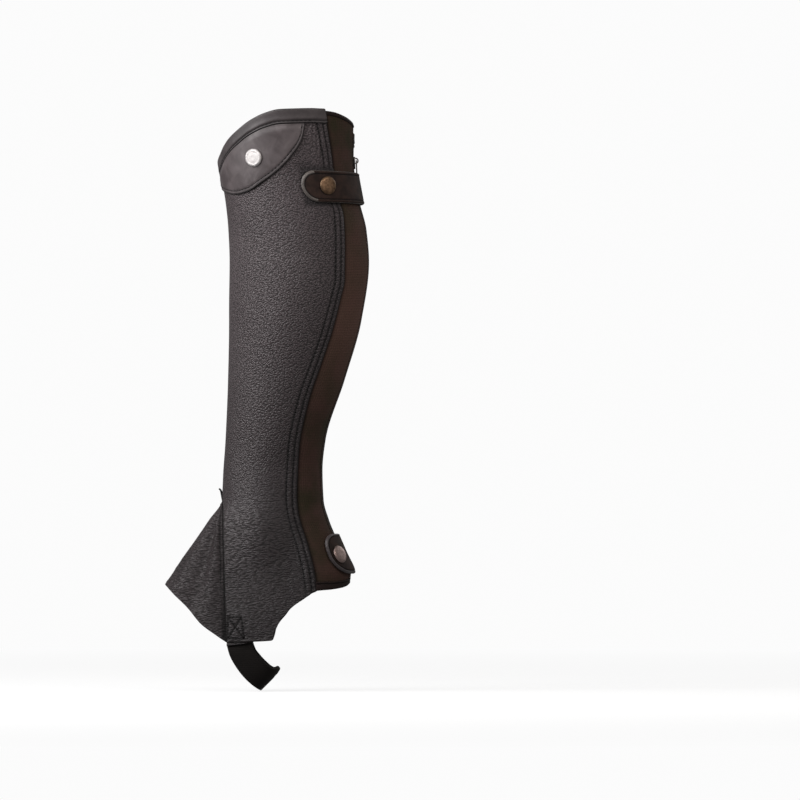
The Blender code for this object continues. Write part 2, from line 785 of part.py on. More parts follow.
def zip_pull(place, collection, cutters):
    """The pull: a pin through the crown, an arm on each side of it and a flat tongue."""
    pin_out = SLIDER_PLATE_OUT + SLIDER_SIZE.z + PIN_OUT
    pivot = place @ Matrix.Translation((0.0, PIN_UP, pin_out))
    length = PULL_PLATE_TO - PULL_PLATE_FROM
    pull = block(
        "zip_pull",
        Vector((PULL_ARM_OUTER * 2, length, PULL_THICKNESS)),
        Vector((0.0, -PULL_PLATE_FROM - length / 2, 0.0)),
        BRIGHT_METAL,
        collection,
    )
    pull.matrix_world = pivot
    arm_width = PULL_ARM_OUTER - PULL_ARM_INNER
    arm_top = PULL_THICKNESS / 2
    arm_reach = PULL_PLATE_FROM + arm_top + SLIDER_OVERLAP
    for side, word in ((-1, "left"), (1, "right")):
        arm = block(
            f"pull_arm_{word}",
            Vector((arm_width, arm_reach, PULL_THICKNESS)),
            Vector((side * (PULL_ARM_INNER + arm_width / 2), arm_top - arm_reach / 2, 0.0)),
            BRIGHT_METAL,
            cutters,
        )
        arm.matrix_world = pivot
        add_boolean(pull, arm, "UNION")
    mesh = bpy.data.meshes.new("pull_pin")
    rod = bmesh.new()
    bmesh.ops.create_cone(
        rod,
        cap_ends=True,
        segments=16,
        radius1=PIN_RADIUS,
        radius2=PIN_RADIUS,
        depth=(PULL_ARM_INNER + PULL_ARM_OUTER),
    )
    sideways = Matrix.Rotation(math.pi / 2, 3, "Y")
    bmesh.ops.rotate(rod, cent=(0, 0, 0), matrix=sideways, verts=rod.verts)
    rod.to_mesh(mesh)
    rod.free()
    pin = new_object("pull_pin", mesh, BRIGHT_METAL, cutters)
    pin.matrix_world = pivot
    add_boolean(pull, pin, "UNION")
    return pull


def build():
    """Empty the scene and make the half chap."""
    for old in list(bpy.data.objects):
        bpy.data.objects.remove(old, do_unlink=True)
    pieces = bpy.data.collections.new(PART_NAME)
    cutters = bpy.data.collections.new("cutters")
    for collection in (pieces, cutters):
        bpy.context.scene.collection.children.link(collection)

    halves = main_panel_grids()
    wall("main_panel", halves, LEATHER, PEBBLED_LEATHER, pieces)
    wall("instep_gusset", [gusset_grid()], LEATHER, PEBBLED_LEATHER, pieces)

    elastic_shares = even_shares(ELASTIC_COLUMNS)
    tape_shares = even_shares(TAPE_COLUMNS)
    elastic = tube_grid(
        elastic_seam_angle, tape_edge_angle, range(1, ELASTIC_TOP_ROW + 1), elastic_shares
    )
    elastic = trimmed(elastic, *[EDGE_TRIM] * 4)
    wall("elastic_panel", [elastic], ELASTIC, RIBBED_ELASTIC, pieces)

    elastic_top = tube_grid(
        elastic_seam_angle, tape_edge_angle, (ELASTIC_TOP_ROW, ROWS), elastic_shares
    )
    keep = 1 - ELASTIC_TOP_DROP / ELASTIC_TOP_BAND
    elastic_top[1] = [
        tuple(low + (high - low) * keep for low, high in zip(below, above))
        for below, above in zip(*elastic_top)
    ]
    elastic_top = trimmed(elastic_top, EDGE_TRIM, EDGE_TRIM, EDGE_TRIM)
    wall("elastic_binding", [elastic_top], ELASTIC_BINDING, BINDING_TAPE, pieces)

    heel = tube_grid(elastic_seam_angle, tape_edge_angle, (0, 1), elastic_shares)
    heel = trimmed(heel, EDGE_TRIM, EDGE_TRIM, 0.0, EDGE_TRIM)
    wall("heel_binding", [heel], HEEL_BINDING, BINDING_TAPE, pieces)

    tape_rows = range(BAND_ROW + 1)
    outer_tape = tube_grid(tape_edge_angle, zip_gap_angle, tape_rows, tape_shares)
    wall("zip_tape_outer", [trimmed(outer_tape, left=EDGE_TRIM)], ZIP_TAPE, ZIP_FABRIC, pieces)
    inner_tape = tube_grid(tape_edge_angle, zip_gap_angle, tape_rows, tape_shares, INNER)
    wall("zip_tape_inner", [trimmed(inner_tape, right=EDGE_TRIM)], ZIP_TAPE, ZIP_FABRIC, pieces)

    band_rows = (BAND_ROW, ELASTIC_TOP_ROW, ROWS)
    outer_band = tube_grid(lambda _: 0.0, elastic_seam_angle, band_rows, even_shares(OUTER_COLUMNS))
    inner_shares = even_shares(INNER_COLUMNS)
    inner_band = tube_grid(lambda _: 0.0, tape_edge_angle, band_rows, inner_shares, INNER)
    outer_band = trimmed(outer_band, right=EDGE_TRIM, bottom=EDGE_TRIM)
    inner_band = trimmed(inner_band, left=EDGE_TRIM, bottom=EDGE_TRIM)
    wall("top_binding", [outer_band, inner_band], TOP_BINDING, SMOOTH_LEATHER, pieces)

    laid_on("top_patch", yoke_rows(), YOKE_THICKNESS, SMOOTH_LEATHER, pieces)
    laid_on("top_strap", tab_rows(TOP_TAB), TAB_THICKNESS, TAB_LEATHER, pieces)
    laid_on("heel_tab", tab_rows(HEEL_TAB), TAB_THICKNESS, TAB_LEATHER, pieces)
    foot_strap(pieces)

    snap_cap("badge_snap", BADGE_SNAP, BADGE_CROWN, BRIGHT_METAL, pieces)
    snap_cap("top_snap", TOP_SNAP, CAP_CROWN, BRONZE_METAL, pieces)
    snap_cap("heel_snap", HEEL_SNAP, CAP_CROWN, BRONZE_METAL, pieces)

    slider_place = frame_at(180, SLIDER_HEIGHT, 0.0)
    zip_slider(slider_place, pieces, cutters)
    zip_pull(slider_place, pieces, cutters)


build()
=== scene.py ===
"""Half chap for the left leg, dressed for the camera.

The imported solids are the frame. Each panel is drawn again here on the same filled leg, so it
lies where its solid lies, with the grain, seams, thread, zip teeth and rounded edges that the
plain solids leave out.

Frame: +Z runs up the leg, -X is the toe side, +X the heel side and -Y the outer side. Places on
the leg are an angle in degrees and a height in metres. The angle is 0 on the shin, 90 on the
outer side, 180 at the back and negative on the inner side. "Out" is the distance along the
surface normal from the leather's outer face.
"""

import logging
import math
from dataclasses import dataclass
from enum import Enum
from itertools import combinations
from typing import Callable, Dict, List, NamedTuple, Optional, Sequence, Tuple, Union

import bmesh
import bpy
import numpy as np
from mathutils import Matrix, Vector

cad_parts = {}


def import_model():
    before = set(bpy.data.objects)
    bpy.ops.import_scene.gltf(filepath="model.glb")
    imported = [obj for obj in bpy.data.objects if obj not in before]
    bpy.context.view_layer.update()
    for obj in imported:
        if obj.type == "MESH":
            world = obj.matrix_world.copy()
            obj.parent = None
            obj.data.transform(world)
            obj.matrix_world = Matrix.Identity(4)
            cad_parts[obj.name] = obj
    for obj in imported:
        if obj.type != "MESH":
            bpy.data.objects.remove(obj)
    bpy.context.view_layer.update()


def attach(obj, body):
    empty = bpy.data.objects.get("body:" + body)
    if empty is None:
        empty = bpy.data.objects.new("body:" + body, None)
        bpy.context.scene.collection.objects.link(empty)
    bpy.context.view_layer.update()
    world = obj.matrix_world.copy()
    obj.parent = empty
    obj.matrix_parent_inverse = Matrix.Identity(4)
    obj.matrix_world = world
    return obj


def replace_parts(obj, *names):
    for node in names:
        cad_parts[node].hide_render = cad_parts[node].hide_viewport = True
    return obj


LOG = logging.getLogger("half_chap")
BODY = "chap"
PULL_BODY = "pull"
PAINTED_SHADE = "pressed"
LAID_FLAT = "laid_flat"
MM = 0.001

Array = np.ndarray
Line = Callable[[Array], Array]
Pair = Tuple[float, float]
Triple = Tuple[float, float, float]
Row = Tuple[Array, Array]
Tree = bpy.types.NodeTree
Node = bpy.types.Node
Output = bpy.types.NodeSocket
Socket = Union[float, Tuple[float, ...], Output]
Piece = bpy.types.Object


class Side(Enum):
    """The two sides of the leg, as signs of the angle."""

    OUTER = 1
    INNER = -1


class Slot(Enum):
    """The record's material slots."""

    PEBBLED = "pebbled_leather"
    SMOOTH = "smooth_leather"
    TAB = "tab_leather"
    ELASTIC = "ribbed_elastic"
    BINDING = "binding_tape"
    WEBBING = "webbing"
    ZIP = "zip_fabric"
    BRIGHT = "bright_metal"
    BRONZE = "bronze_metal"


class Section(NamedTuple):
    """One level of the filled leg."""

    height: float
    front: float
    back: float
    half_width: float
    widest: float
    front_power: float


class SidePoint(NamedTuple):
    """A point of an edge as the side view shows it."""

    x: float
    height: float


class RimPoint(NamedTuple):
    """A point of an edge by its angle round the leg."""

    angle: float
    height: float


class ZipRow(NamedTuple):
    """The zip at one height, by distances from the middle of the back."""

    height: float
    free: float
    sewn: float


def table(kind: type, *rows: Tuple[float, ...]) -> Tuple[NamedTuple, ...]:
    """Rows of one kind, whose columns have its names."""
    return tuple(kind(*row) for row in rows)


LEG = table(
    Section,
    (0.1260, -0.0683, 0.0458, 0.0560, -0.0120, 2.00),
    (0.0826, -0.0655, 0.0446, 0.0550, -0.0110, 2.00),
    (0.0500, -0.0597, 0.0492, 0.0545, -0.0060, 2.00),
    (0.0260, -0.0573, 0.0550, 0.0545, -0.0020, 2.00),
    (0.0000, -0.0565, 0.0571, 0.0545, 0.0000, 2.00),
    (-0.0470, -0.0565, 0.0510, 0.0520, -0.0030, 2.00),
    (-0.0956, -0.0574, 0.0373, 0.0460, -0.0100, 2.00),
    (-0.1440, -0.0595, 0.0219, 0.0390, -0.0180, 2.00),
    (-0.1685, -0.0612, 0.0194, 0.0360, -0.0210, 2.00),
    (-0.1928, -0.0624, 0.0203, 0.0355, -0.0210, 2.00),
    (-0.2090, -0.0729, 0.0247, 0.0356, -0.0200, 1.95),
    (-0.2220, -0.0818, 0.0300, 0.0360, -0.0180, 1.90),
    (-0.2380, -0.0930, 0.0369, 0.0370, -0.0150, 1.85),
    (-0.2520, -0.1025, 0.0427, 0.0376, -0.0130, 1.82),
    (-0.2608, -0.1085, 0.0418, 0.0380, -0.0120, 1.80),
    (-0.2850, -0.1250, 0.0412, 0.0400, -0.0100, 1.75),
    (-0.3080, -0.1400, 0.0412, 0.0410, -0.0100, 1.70),
)

# The leather's top edge round the leg: high on the outer side, low on the inner side
RIM = table(
    RimPoint,
    (-180, 0.1081), (-150, 0.0970), (-120, 0.0840), (-90, 0.0760), (-60, 0.0720),
    (-30, 0.0730), (0, 0.0812), (9, 0.0843), (18, 0.0883), (27, 0.0941),
    (37, 0.1006), (48, 0.1070), (59, 0.1134), (73, 0.1195), (86, 0.1227),
    (100, 0.1233), (113, 0.1236), (125, 0.1233), (127, 0.1238), (134, 0.1232),
    (148, 0.1202), (160, 0.1170), (171, 0.1138), (180, 0.1105),
)

# Where the leather ends and the elastic panel begins
ELASTIC_SEAM = table(
    SidePoint,
    (0.0208, 0.1260), (0.0243, 0.1037), (0.0267, 0.0891), (0.0284, 0.0753),
    (0.0332, 0.0502), (0.0365, 0.0356), (0.0377, 0.0097), (0.0373, -0.0154),
    (0.0344, -0.0284), (0.0279, -0.0543), (0.0190, -0.0810), (0.0081, -0.1134),
    (0.0004, -0.1523), (-0.0012, -0.1904), (0.0000, -0.2033), (0.0077, -0.2292),
    (0.0134, -0.2535), (0.0146, -0.2657),
)

# Where the gusset meets the leather, from its apex down
GUSSET_SEAM = table(
    SidePoint,
    (-0.0624, -0.1863), (-0.0603, -0.2576), (-0.0583, -0.3070),
)

# The gusset's lower edge, from the tip over the toe back to the seam
GUSSET_EDGE = table(
    SidePoint,
    (-0.1085, -0.2608), (-0.0923, -0.2770), (-0.0778, -0.2932), (-0.0689, -0.2997),
    (-0.0583, -0.3070),
)

# The tube's lower edge: a drop at the side of the foot, an arch and the heel
LOWER_EDGE = table(
    SidePoint,
    (-0.0583, -0.3070), (-0.0215, -0.3054), (-0.0194, -0.2973), (-0.0146, -0.2892),
    (-0.0073, -0.2803), (0.0032, -0.2726), (0.0146, -0.2660), (0.0275, -0.2649),
    (0.0365, -0.2632), (0.0427, -0.2585),
)
DROP_CORNER = 1

# The smooth patch on the upper shin, along its lower edge
PATCH_EDGE = table(
    RimPoint,
    (-33, 0.0640), (-15, 0.0645), (0, 0.0600), (10, 0.0580), (37, 0.0548),
    (51, 0.0567), (68, 0.0644), (85, 0.0750), (96, 0.0860), (104, 0.0980),
    (108, 0.1160),
)

# The tapes' free edges, which part above the slider, and where they go under the panels
ZIP = table(
    ZipRow,
    (-0.3100, 0.15 * MM, 7.0 * MM), (0.0600, 0.15 * MM, 7.0 * MM), (0.0730, 0.20 * MM, 7.0 * MM),
    (0.0850, 1.9 * MM, 7.6 * MM), (0.1080, 5.0 * MM, 9.5 * MM), (0.1300, 8.0 * MM, 11.5 * MM),
)

# The height above which the gusset's two seams run straight to its apex
GUSSET_TAPER = -0.1960

SEAM_GAP = 0.3 * MM
HALF_GAP = SEAM_GAP / 2
TOP_BAND = 11.8 * MM
ELASTIC_TOP_BAND = 5.5 * MM
ELASTIC_TOP_DROP = 2.4 * MM


class Curve:
    """A table read along a curve that never overshoots the table's own values."""

    def __init__(self, xs: Sequence[float], ys: Sequence[float]) -> None:
        """Sort the table and find the slope at each of its points.

        Args:
            xs: where the table's values are.
            ys: the values.
        """
        order = np.argsort(xs)
        self.xs = np.asarray(xs, float)[order]
        self.ys = np.asarray(ys, float)[order]
        self.steps = np.diff(self.xs)
        slopes = np.diff(self.ys) / self.steps
        before, after = slopes[:-1], slopes[1:]
        same_way = before * after > 0
        whole = np.where(same_way, before + after, 1.0)
        middle = np.where(same_way, 2 * before * after / whole, 0.0)
        self.tangents = np.concatenate([slopes[:1], middle, slopes[-1:]])

    def __call__(self, x: Array) -> Array:
        """Read the table.

        Args:
            x: one place or an array of places.

        Returns:
            The values there; beyond its ends the table keeps its end values.
        """
        x = np.clip(x, self.xs[0], self.xs[-1])
        i = np.clip(np.searchsorted(self.xs, x) - 1, 0, len(self.steps) - 1)
        step = self.steps[i]
        t = (x - self.xs[i]) / step
        rise = self.ys[i] * (1 + 2 * t) * (1 - t) ** 2 + self.ys[i + 1] * t * t * (3 - 2 * t)
        bend = self.tangents[i] * t * (1 - t) ** 2 - self.tangents[i + 1] * t * t * (1 - t)
        return rise + bend * step


def table_curve(table: Sequence[NamedTuple], across: str, value: str = "height") -> Curve:
    """A curve through two named columns of a table."""
    return Curve([getattr(row, across) for row in table], [getattr(row, value) for row in table])


def bell(x: Array, middle: float, width: float) -> Array:
    """A smooth bump of height 1 round a middle."""
    return np.exp(-(((x - middle) / width) ** 2))


def ramp(x: Array, low: float, high: float) -> Array:
    """A smooth step from 0 at low to 1 at high; high may be the smaller of the two."""
    t = np.clip((x - low) / (high - low), 0.0, 1.0)
    return t * t * (3 - 2 * t)


class SoftNoise:
    """Smooth noise from -1 to 1 on a repeating lattice, the same on every run."""

    SIZE = 97

    def __init__(self, seed: int) -> None:
        """Draw the lattice's values from a seed."""
        self.lattice = np.random.default_rng(seed).uniform(-1, 1, (self.SIZE, self.SIZE))

    def __call__(self, x: Array, y: Array) -> Array:
        """Read the noise.

        Args:
            x: places across, in lattice steps.
            y: places up, in lattice steps.

        Returns:
            The noise at each place.
        """
        x, y = np.broadcast_arrays(x, y)
        left, low = np.floor(x).astype(int), np.floor(y).astype(int)
        s, t = x - left, y - low
        s, t = s * s * (3 - 2 * s), t * t * (3 - 2 * t)
        n = self.SIZE
        corner = [[self.lattice[(left + i) % n, (low + j) % n] for j in (0, 1)] for i in (0, 1)]
        lower = corner[0][0] * (1 - s) + corner[1][0] * s
        upper = corner[0][1] * (1 - s) + corner[1][1] * s
        return lower * (1 - t) + upper * t


class LegForm:
    """The filled leg that every panel lies on, and the edges of the panels."""

    def __init__(self) -> None:
        """Turn the tables into curves."""
        names = Section._fields[1:]
        self.levels = {name: table_curve(LEG, "height", name) for name in names}
        self.rim = table_curve(RIM, "angle")
        self.elastic_x = table_curve(ELASTIC_SEAM, "height", "x")
        self.gusset_x = table_curve(GUSSET_SEAM, "height", "x")
        self.gusset_edge = table_curve(GUSSET_EDGE, "x")
        self.patch_edge = table_curve(PATCH_EDGE, "angle")
        self.zip_free = table_curve(ZIP, "height", "free")
        self.zip_sewn = table_curve(ZIP, "height", "sewn")
        angles = [float(self.angle_at(point.x, point.height)) for point in LOWER_EDGE]
        self.drop_angle = angles[DROP_CORNER]
        self.lower_edge = Curve(angles, [point.height for point in LOWER_EDGE])

    def level(self, height: Array) -> Dict[str, Array]:
        """The leg's section at each height, by the names of the table's columns."""
        return {name: curve(height) for name, curve in self.levels.items()}

    def skin(self, angle: Array, height: Array) -> Array:
        """Points on the leather's outer face.

        Args:
            angle: angles in degrees.
            height: heights in metres.

        Returns:
            The points, along a last axis of three.
        """
        angle, height = np.broadcast_arrays(np.asarray(angle, float), height)
        row = self.level(height)
        forward, sideways = np.cos(np.radians(angle)), np.sin(np.radians(angle))
        ahead = forward > 0
        power = 2 / row["front_power"]
        reach_front = (row["front"] - row["widest"]) * np.abs(forward) ** power
        reach_back = -(row["back"] - row["widest"]) * forward
        spread = np.where(ahead, np.abs(sideways) ** power, np.abs(sideways))
        x = row["widest"] + np.where(ahead, reach_front, reach_back)
        y = -row["half_width"] * np.sign(sideways) * spread
        return np.stack([x, y, height], axis=-1)

    def normal(self, angle: Array, height: Array) -> Array:
        """The directions out of the leather at some places.

        Args:
            angle: angles in degrees.
            height: heights in metres.

        Returns:
            The directions, along a last axis of three.
        """
        turn, rise = 1.5, 1.5 * MM
        around = self.skin(angle + turn, height) - self.skin(angle - turn, height)
        up = self.skin(angle, height + rise) - self.skin(angle, height - rise)
        out = np.cross(around, up)
        return out / np.linalg.norm(out, axis=-1, keepdims=True)

    def point(self, angle: Array, height: Array, out: Array = 0.0) -> Array:
        """Points at a distance out of the leather's outer face."""
        angle, height, out = np.broadcast_arrays(angle, height, out)
        return self.skin(angle, height) + self.normal(angle, height) * out[..., None]

    def row(self, angle: Array, height: Array, out: Array) -> Row:
        """A stitch row at some places: its points and its directions out of the surface."""
        return self.point(angle, height, out), self.normal(angle, height)

    def speed(self, angle: Array, height: Array) -> Array:
        """Metres round the leg for each degree."""
        across = self.skin(angle + 0.5, height) - self.skin(angle - 0.5, height)
        return np.linalg.norm(across, axis=-1)

    def laid_flat(self, angle: Array, height: Array) -> Array:
        """Where points lie with the leg's skin laid out flat: from the shin's middle, and up.

        Args:
            angle: angles in degrees.
            height: heights in metres.

        Returns:
            The places, along a last axis of three.
        """
        shares = (np.arange(12) + 0.5) / 12
        along = angle * np.mean([self.speed(angle * share, height) for share in shares], axis=0)
        return np.stack([along, height, 0 * height], axis=-1)

    def angle_at(self, x: Array, height: Array) -> Array:
        """The outer side's angle at the points that the side view shows at x.

        Args:
            x: where the side view shows the points.
            height: heights in metres.

        Returns:
            The angles in degrees.
        """
        row = self.level(height)
        ahead = x < row["widest"]
        end = np.where(ahead, row["front"], row["back"])
        share = np.clip((x - row["widest"]) / (end - row["widest"]), 0.0, 1.0)
        front = np.degrees(np.arccos(share ** (row["front_power"] / 2)))
        return np.where(ahead, front, 180 - np.degrees(np.arccos(share)))

    def back_angle(self, distance: Array, height: Array) -> Array:
        """The angle at a distance round the leg from the middle of the back."""
        return 180 - np.degrees(distance / self.level(height)["half_width"])

    def elastic_seam(self, height: Array) -> Array:
        """The angle of the seam between the leather and the elastic panel."""
        return self.angle_at(self.elastic_x(height), height)

    def beside_seam(self, height: Array, sign: int = 1) -> Array:
        """The edge beside the elastic seam: the elastic's, or with -1 the leather's."""
        seam = self.elastic_seam(height)
        return seam + sign * HALF_GAP / self.speed(seam, height)

    def beside_zip(self, height: Array) -> Array:
        """The edge of a panel where a zip tape goes under it."""
        return self.back_angle(self.zip_sewn(height) + HALF_GAP, height)

    def gusset_seam(self, height: Array) -> Array:
        """The angle of the gusset's outer seam, which narrows to 0 at its apex.

        Args:
            height: heights in metres.

        Returns:
            The angles in degrees.
        """
        low = np.minimum(height, GUSSET_TAPER)
        seam = self.angle_at(self.gusset_x(low), low)
        apex = GUSSET_SEAM[0].height
        return seam * np.clip((apex - height) / (apex - GUSSET_TAPER), 0.0, 1.0)

    def lower(self, angle: Array) -> Array:
        """The height of the tube's lower edge."""
        return self.lower_edge(np.abs(angle))

    def hem(self, angle: Array) -> Array:
        """The height of the heel tape's upper edge, lower toward the heel.

        Args:
            angle: angles in degrees.

        Returns:
            The heights in metres.
        """
        side_hem, heel_hem = 8.0 * MM, 4.0 * MM
        share = np.clip((np.abs(angle) - 100) / 80, 0, 1)
        return self.lower(angle) + side_hem + (heel_hem - side_hem) * share

    def band_edge(self, angle: Array) -> Array:
        """The height of the top binding's lower edge."""
        return self.rim(angle) - TOP_BAND

    def gusset_lower(self, angle: Array) -> Array:
        """The height of the gusset's lower edge, which the side view gives as a line.

        Args:
            angle: angles in degrees.

        Returns:
            The heights in metres.
        """
        height = np.full(np.shape(angle), GUSSET_EDGE[0].height)
        for _ in range(40):
            height = 0.5 * (height + self.gusset_edge(self.skin(angle, height)[..., 0]))
        return height

    def beside(self, edge: Line, height: Array, distance: Array) -> Array:
        """Angles at a distance from an edge, measured square to it, toward the shin."""
        angle = edge(height)
        return angle - distance * self.stretch(edge, height) / self.speed(angle, height)

    def distance(self, edge: Line, angle: Array, height: Array) -> Array:
        """The distance from an edge, square to it; positive toward the shin."""
        away = (edge(height) - np.abs(angle)) * self.speed(angle, height)
        return away / self.stretch(edge, height)

    def stretch(self, edge: Line, height: Array) -> Array:
        """How much longer than square a level line is between two lines along an edge.

        Args:
            edge: the angle of the edge, by height.
            height: heights in metres.

        Returns:
            The ratio at each height.
        """
        rise = 2 * MM
        turn = edge(height + rise) - edge(height - rise)
        lean = turn * self.speed(edge(height), height) / (2 * rise)
        return np.sqrt(1 + lean**2)

    def panel(
        self, start: Line, end: Line, low: Line, high: Line, across: Array, up: Array,
        side: Side = Side.OUTER,
    ) -> Tuple[Array, Array]:
        """Places in a grid between four edges.

        Args:
            start: the angle of the edge nearer the shin, by height.
            end: the angle of the edge nearer the back, by height.
            low: the height of the lower edge, by angle.
            high: the height of the upper edge, by angle.
            across: shares from 0 to 1 between start and end.
            up: shares from 0 to 1 between low and high.
            side: the side of the leg.

        Returns:
            The angles and the heights, a row for each share of up, with the angle growing.
        """
        share, rise = np.meshgrid(across, up)
        height = np.zeros(share.shape)
        for _ in range(90):
            angle = side.value * (start(height) + (end(height) - start(height)) * share)
            target = low(angle) + (high(angle) - low(angle)) * rise
            height = height + 0.16 * (target - height)
        angle = side.value * (start(height) + (end(height) - start(height)) * share)
        return angle[:, :: side.value], height[:, :: side.value]


def linear(code: str) -> Tuple[float, float, float, float]:
    """Turn an sRGB hex colour into linear RGBA.

    Args:
        code: the colour, such as "#2E2A2A".

    Returns:
        Its linear red, green and blue, and an alpha of 1.
    """
    values = [int(code[i : i + 2], 16) / 255 for i in (1, 3, 5)]
    return (*[v / 12.92 if v <= 0.04045 else ((v + 0.055) / 1.055) ** 2.4 for v in values], 1.0)


def add_node(
    tree: Tree,
    kind: str,
    inputs: Optional[Dict[Union[str, int], Socket]] = None,
    out: Union[str, int] = 0,
    **settings: Union[str, bool, float],
) -> Output:
    """Add a node with its settings, values and links.

    Args:
        tree: the material's tree.
        kind: Blender's name for the node, without ShaderNode.
        inputs: a value or another node's output for each input named or numbered.
        out: the name or number of the output that is wanted.
        settings: the node's own properties.

    Returns:
        The output.
    """
    node = tree.nodes.new("ShaderNode" + kind)
    for name, value in settings.items():
        setattr(node, name, value)
    for name, value in (inputs or {}).items():
        if isinstance(value, Output):
            tree.links.new(value, node.inputs[name])
        else:
            node.inputs[name].default_value = value
    return node.outputs[out]


def mottle(
    tree: Tree,
    place: Output,
    dyes: Tuple[str, str],
    size: float,
    detail: float,
    span: Pair,
    most: float = 1.0,
    distortion: float = 0.0,
) -> Tuple[Output, Output, Output]:
    """Blend two dyes by soft blots.

    Args:
        tree: the material's tree.
        place: where the surface is, in metres.
        dyes: the two dyes.
        size: the blots' size in metres.
        detail: how ragged they are.
        span: the noise where the second dye begins and where it is full.
        most: the second dye's share where it is full.
        distortion: how far the blots are stirred.

    Returns:
        The blend, the second dye's share and the noise.
    """
    inputs = {"Vector": place, "Scale": 1 / size, "Detail": detail, "Distortion": distortion}
    noise = add_node(tree, "TexNoise", inputs)
    share = add_node(tree, "MapRange", {0: noise, 1: span[0], 2: span[1], 4: most})
    inputs = {"Factor": share, 6: linear(dyes[0]), 7: linear(dyes[1])}
    return add_node(tree, "Mix", inputs, 2, data_type="RGBA"), share, noise


def roughen(
    tree: Tree,
    shader: Node,
    place: Output,
    *layers: Tuple[float, float, float, float],
    below: Optional[Output] = None,
) -> None:
    """Raise the surface's finest relief, layer over layer.

    Args:
        tree: the material's tree.
        shader: its Principled BSDF.
        place: where the surface is, in metres.
        layers: each layer's grain size, detail, depth and strength.
        below: the relief that the first layer lies on, if any.
    """
    for size, detail, depth, strength in layers:
        noise = add_node(tree, "TexNoise", {"Vector": place, "Scale": 1 / size, "Detail": detail})
        inputs = {"Height": noise, "Distance": depth, "Strength": strength}
        if below is not None:
            inputs["Normal"] = below
        below = add_node(tree, "Bump", inputs)
    tree.links.new(below, shader.inputs["Normal"])


@dataclass(frozen=True)
class Finish:
    """A finish: what it is called, the slot it belongs to and its plain shader values."""

    name: str
    slot: Slot
    colour: str
    roughness: float = 0.5
    metallic: float = 0.0
    ior: float = 1.5
    specular: float = 0.5
    sheen: float = 0.0

    def material(self) -> bpy.types.Material:
        """Make the material, or find it if it is made.

        Returns:
            The material.
        """
        made = bpy.data.materials.get(self.name)
        if made:
            return made
        made = bpy.data.materials.new(self.name)
        made.use_nodes = True
        tree = made.node_tree
        shader = tree.nodes["Principled BSDF"]
        values = {
            "Base Color": linear(self.colour),
            "Roughness": self.roughness,
            "Metallic": self.metallic,
            "Specular IOR Level": self.specular,
            "Sheen Weight": self.sheen,
            "Sheen Roughness": 0.5,
        }
        if not self.metallic:
            values["IOR"] = self.ior
        for name, value in values.items():
            shader.inputs[name].default_value = value
        self.dress(tree, shader, add_node(tree, "TexCoord", out="Object"))
        return made

    def dress(self, tree: Tree, shader: Node, place: Output) -> None:
        """Add the moulded or ground surface's faint unevenness.

        Args:
            tree: the material's tree.
            shader: its Principled BSDF.
            place: the object coordinates, in metres.
        """
        inputs = {"Vector": place, "Scale": 1 / (1.5 * MM), "Detail": 3.0}
        marks = add_node(tree, "TexNoise", inputs)
        inputs = {0: marks, 1: 0.35, 2: 0.65, 3: self.roughness, 4: self.roughness + 0.15}
        tree.links.new(add_node(tree, "MapRange", inputs), shader.inputs["Roughness"])
        inputs = {"Height": marks, "Distance": 0.05 * MM, "Strength": 0.4}
        tree.links.new(add_node(tree, "Bump", inputs), shader.inputs["Normal"])

    def press(self, tree: Tree, shader: Node, colour: Socket, gloss: Socket) -> None:
        """Link the colour and gloss, with dark, matt painted shade in grooves and under edges.

        Args:
            tree: the material's tree.
            shader: its Principled BSDF.
            colour: the colour away from the seams.
            gloss: the roughness away from the seams.
        """
        # Painted shade: nearly black where the attribute marks a groove, a seam's gap or the place
        # under an overlapping edge.
        painted_shade_colour, matt = linear("#070505"), 0.95
        pressed = add_node(tree, "Attribute", out="Fac", attribute_name=PAINTED_SHADE)
        inputs = {"Factor": pressed, 6: colour, 7: painted_shade_colour}
        dark = add_node(tree, "Mix", inputs, 2, data_type="RGBA")
        rough = add_node(tree, "Mix", {"Factor": pressed, 2: gloss, 3: matt})
        tree.links.new(dark, shader.inputs["Base Color"])
        tree.links.new(rough, shader.inputs["Roughness"])


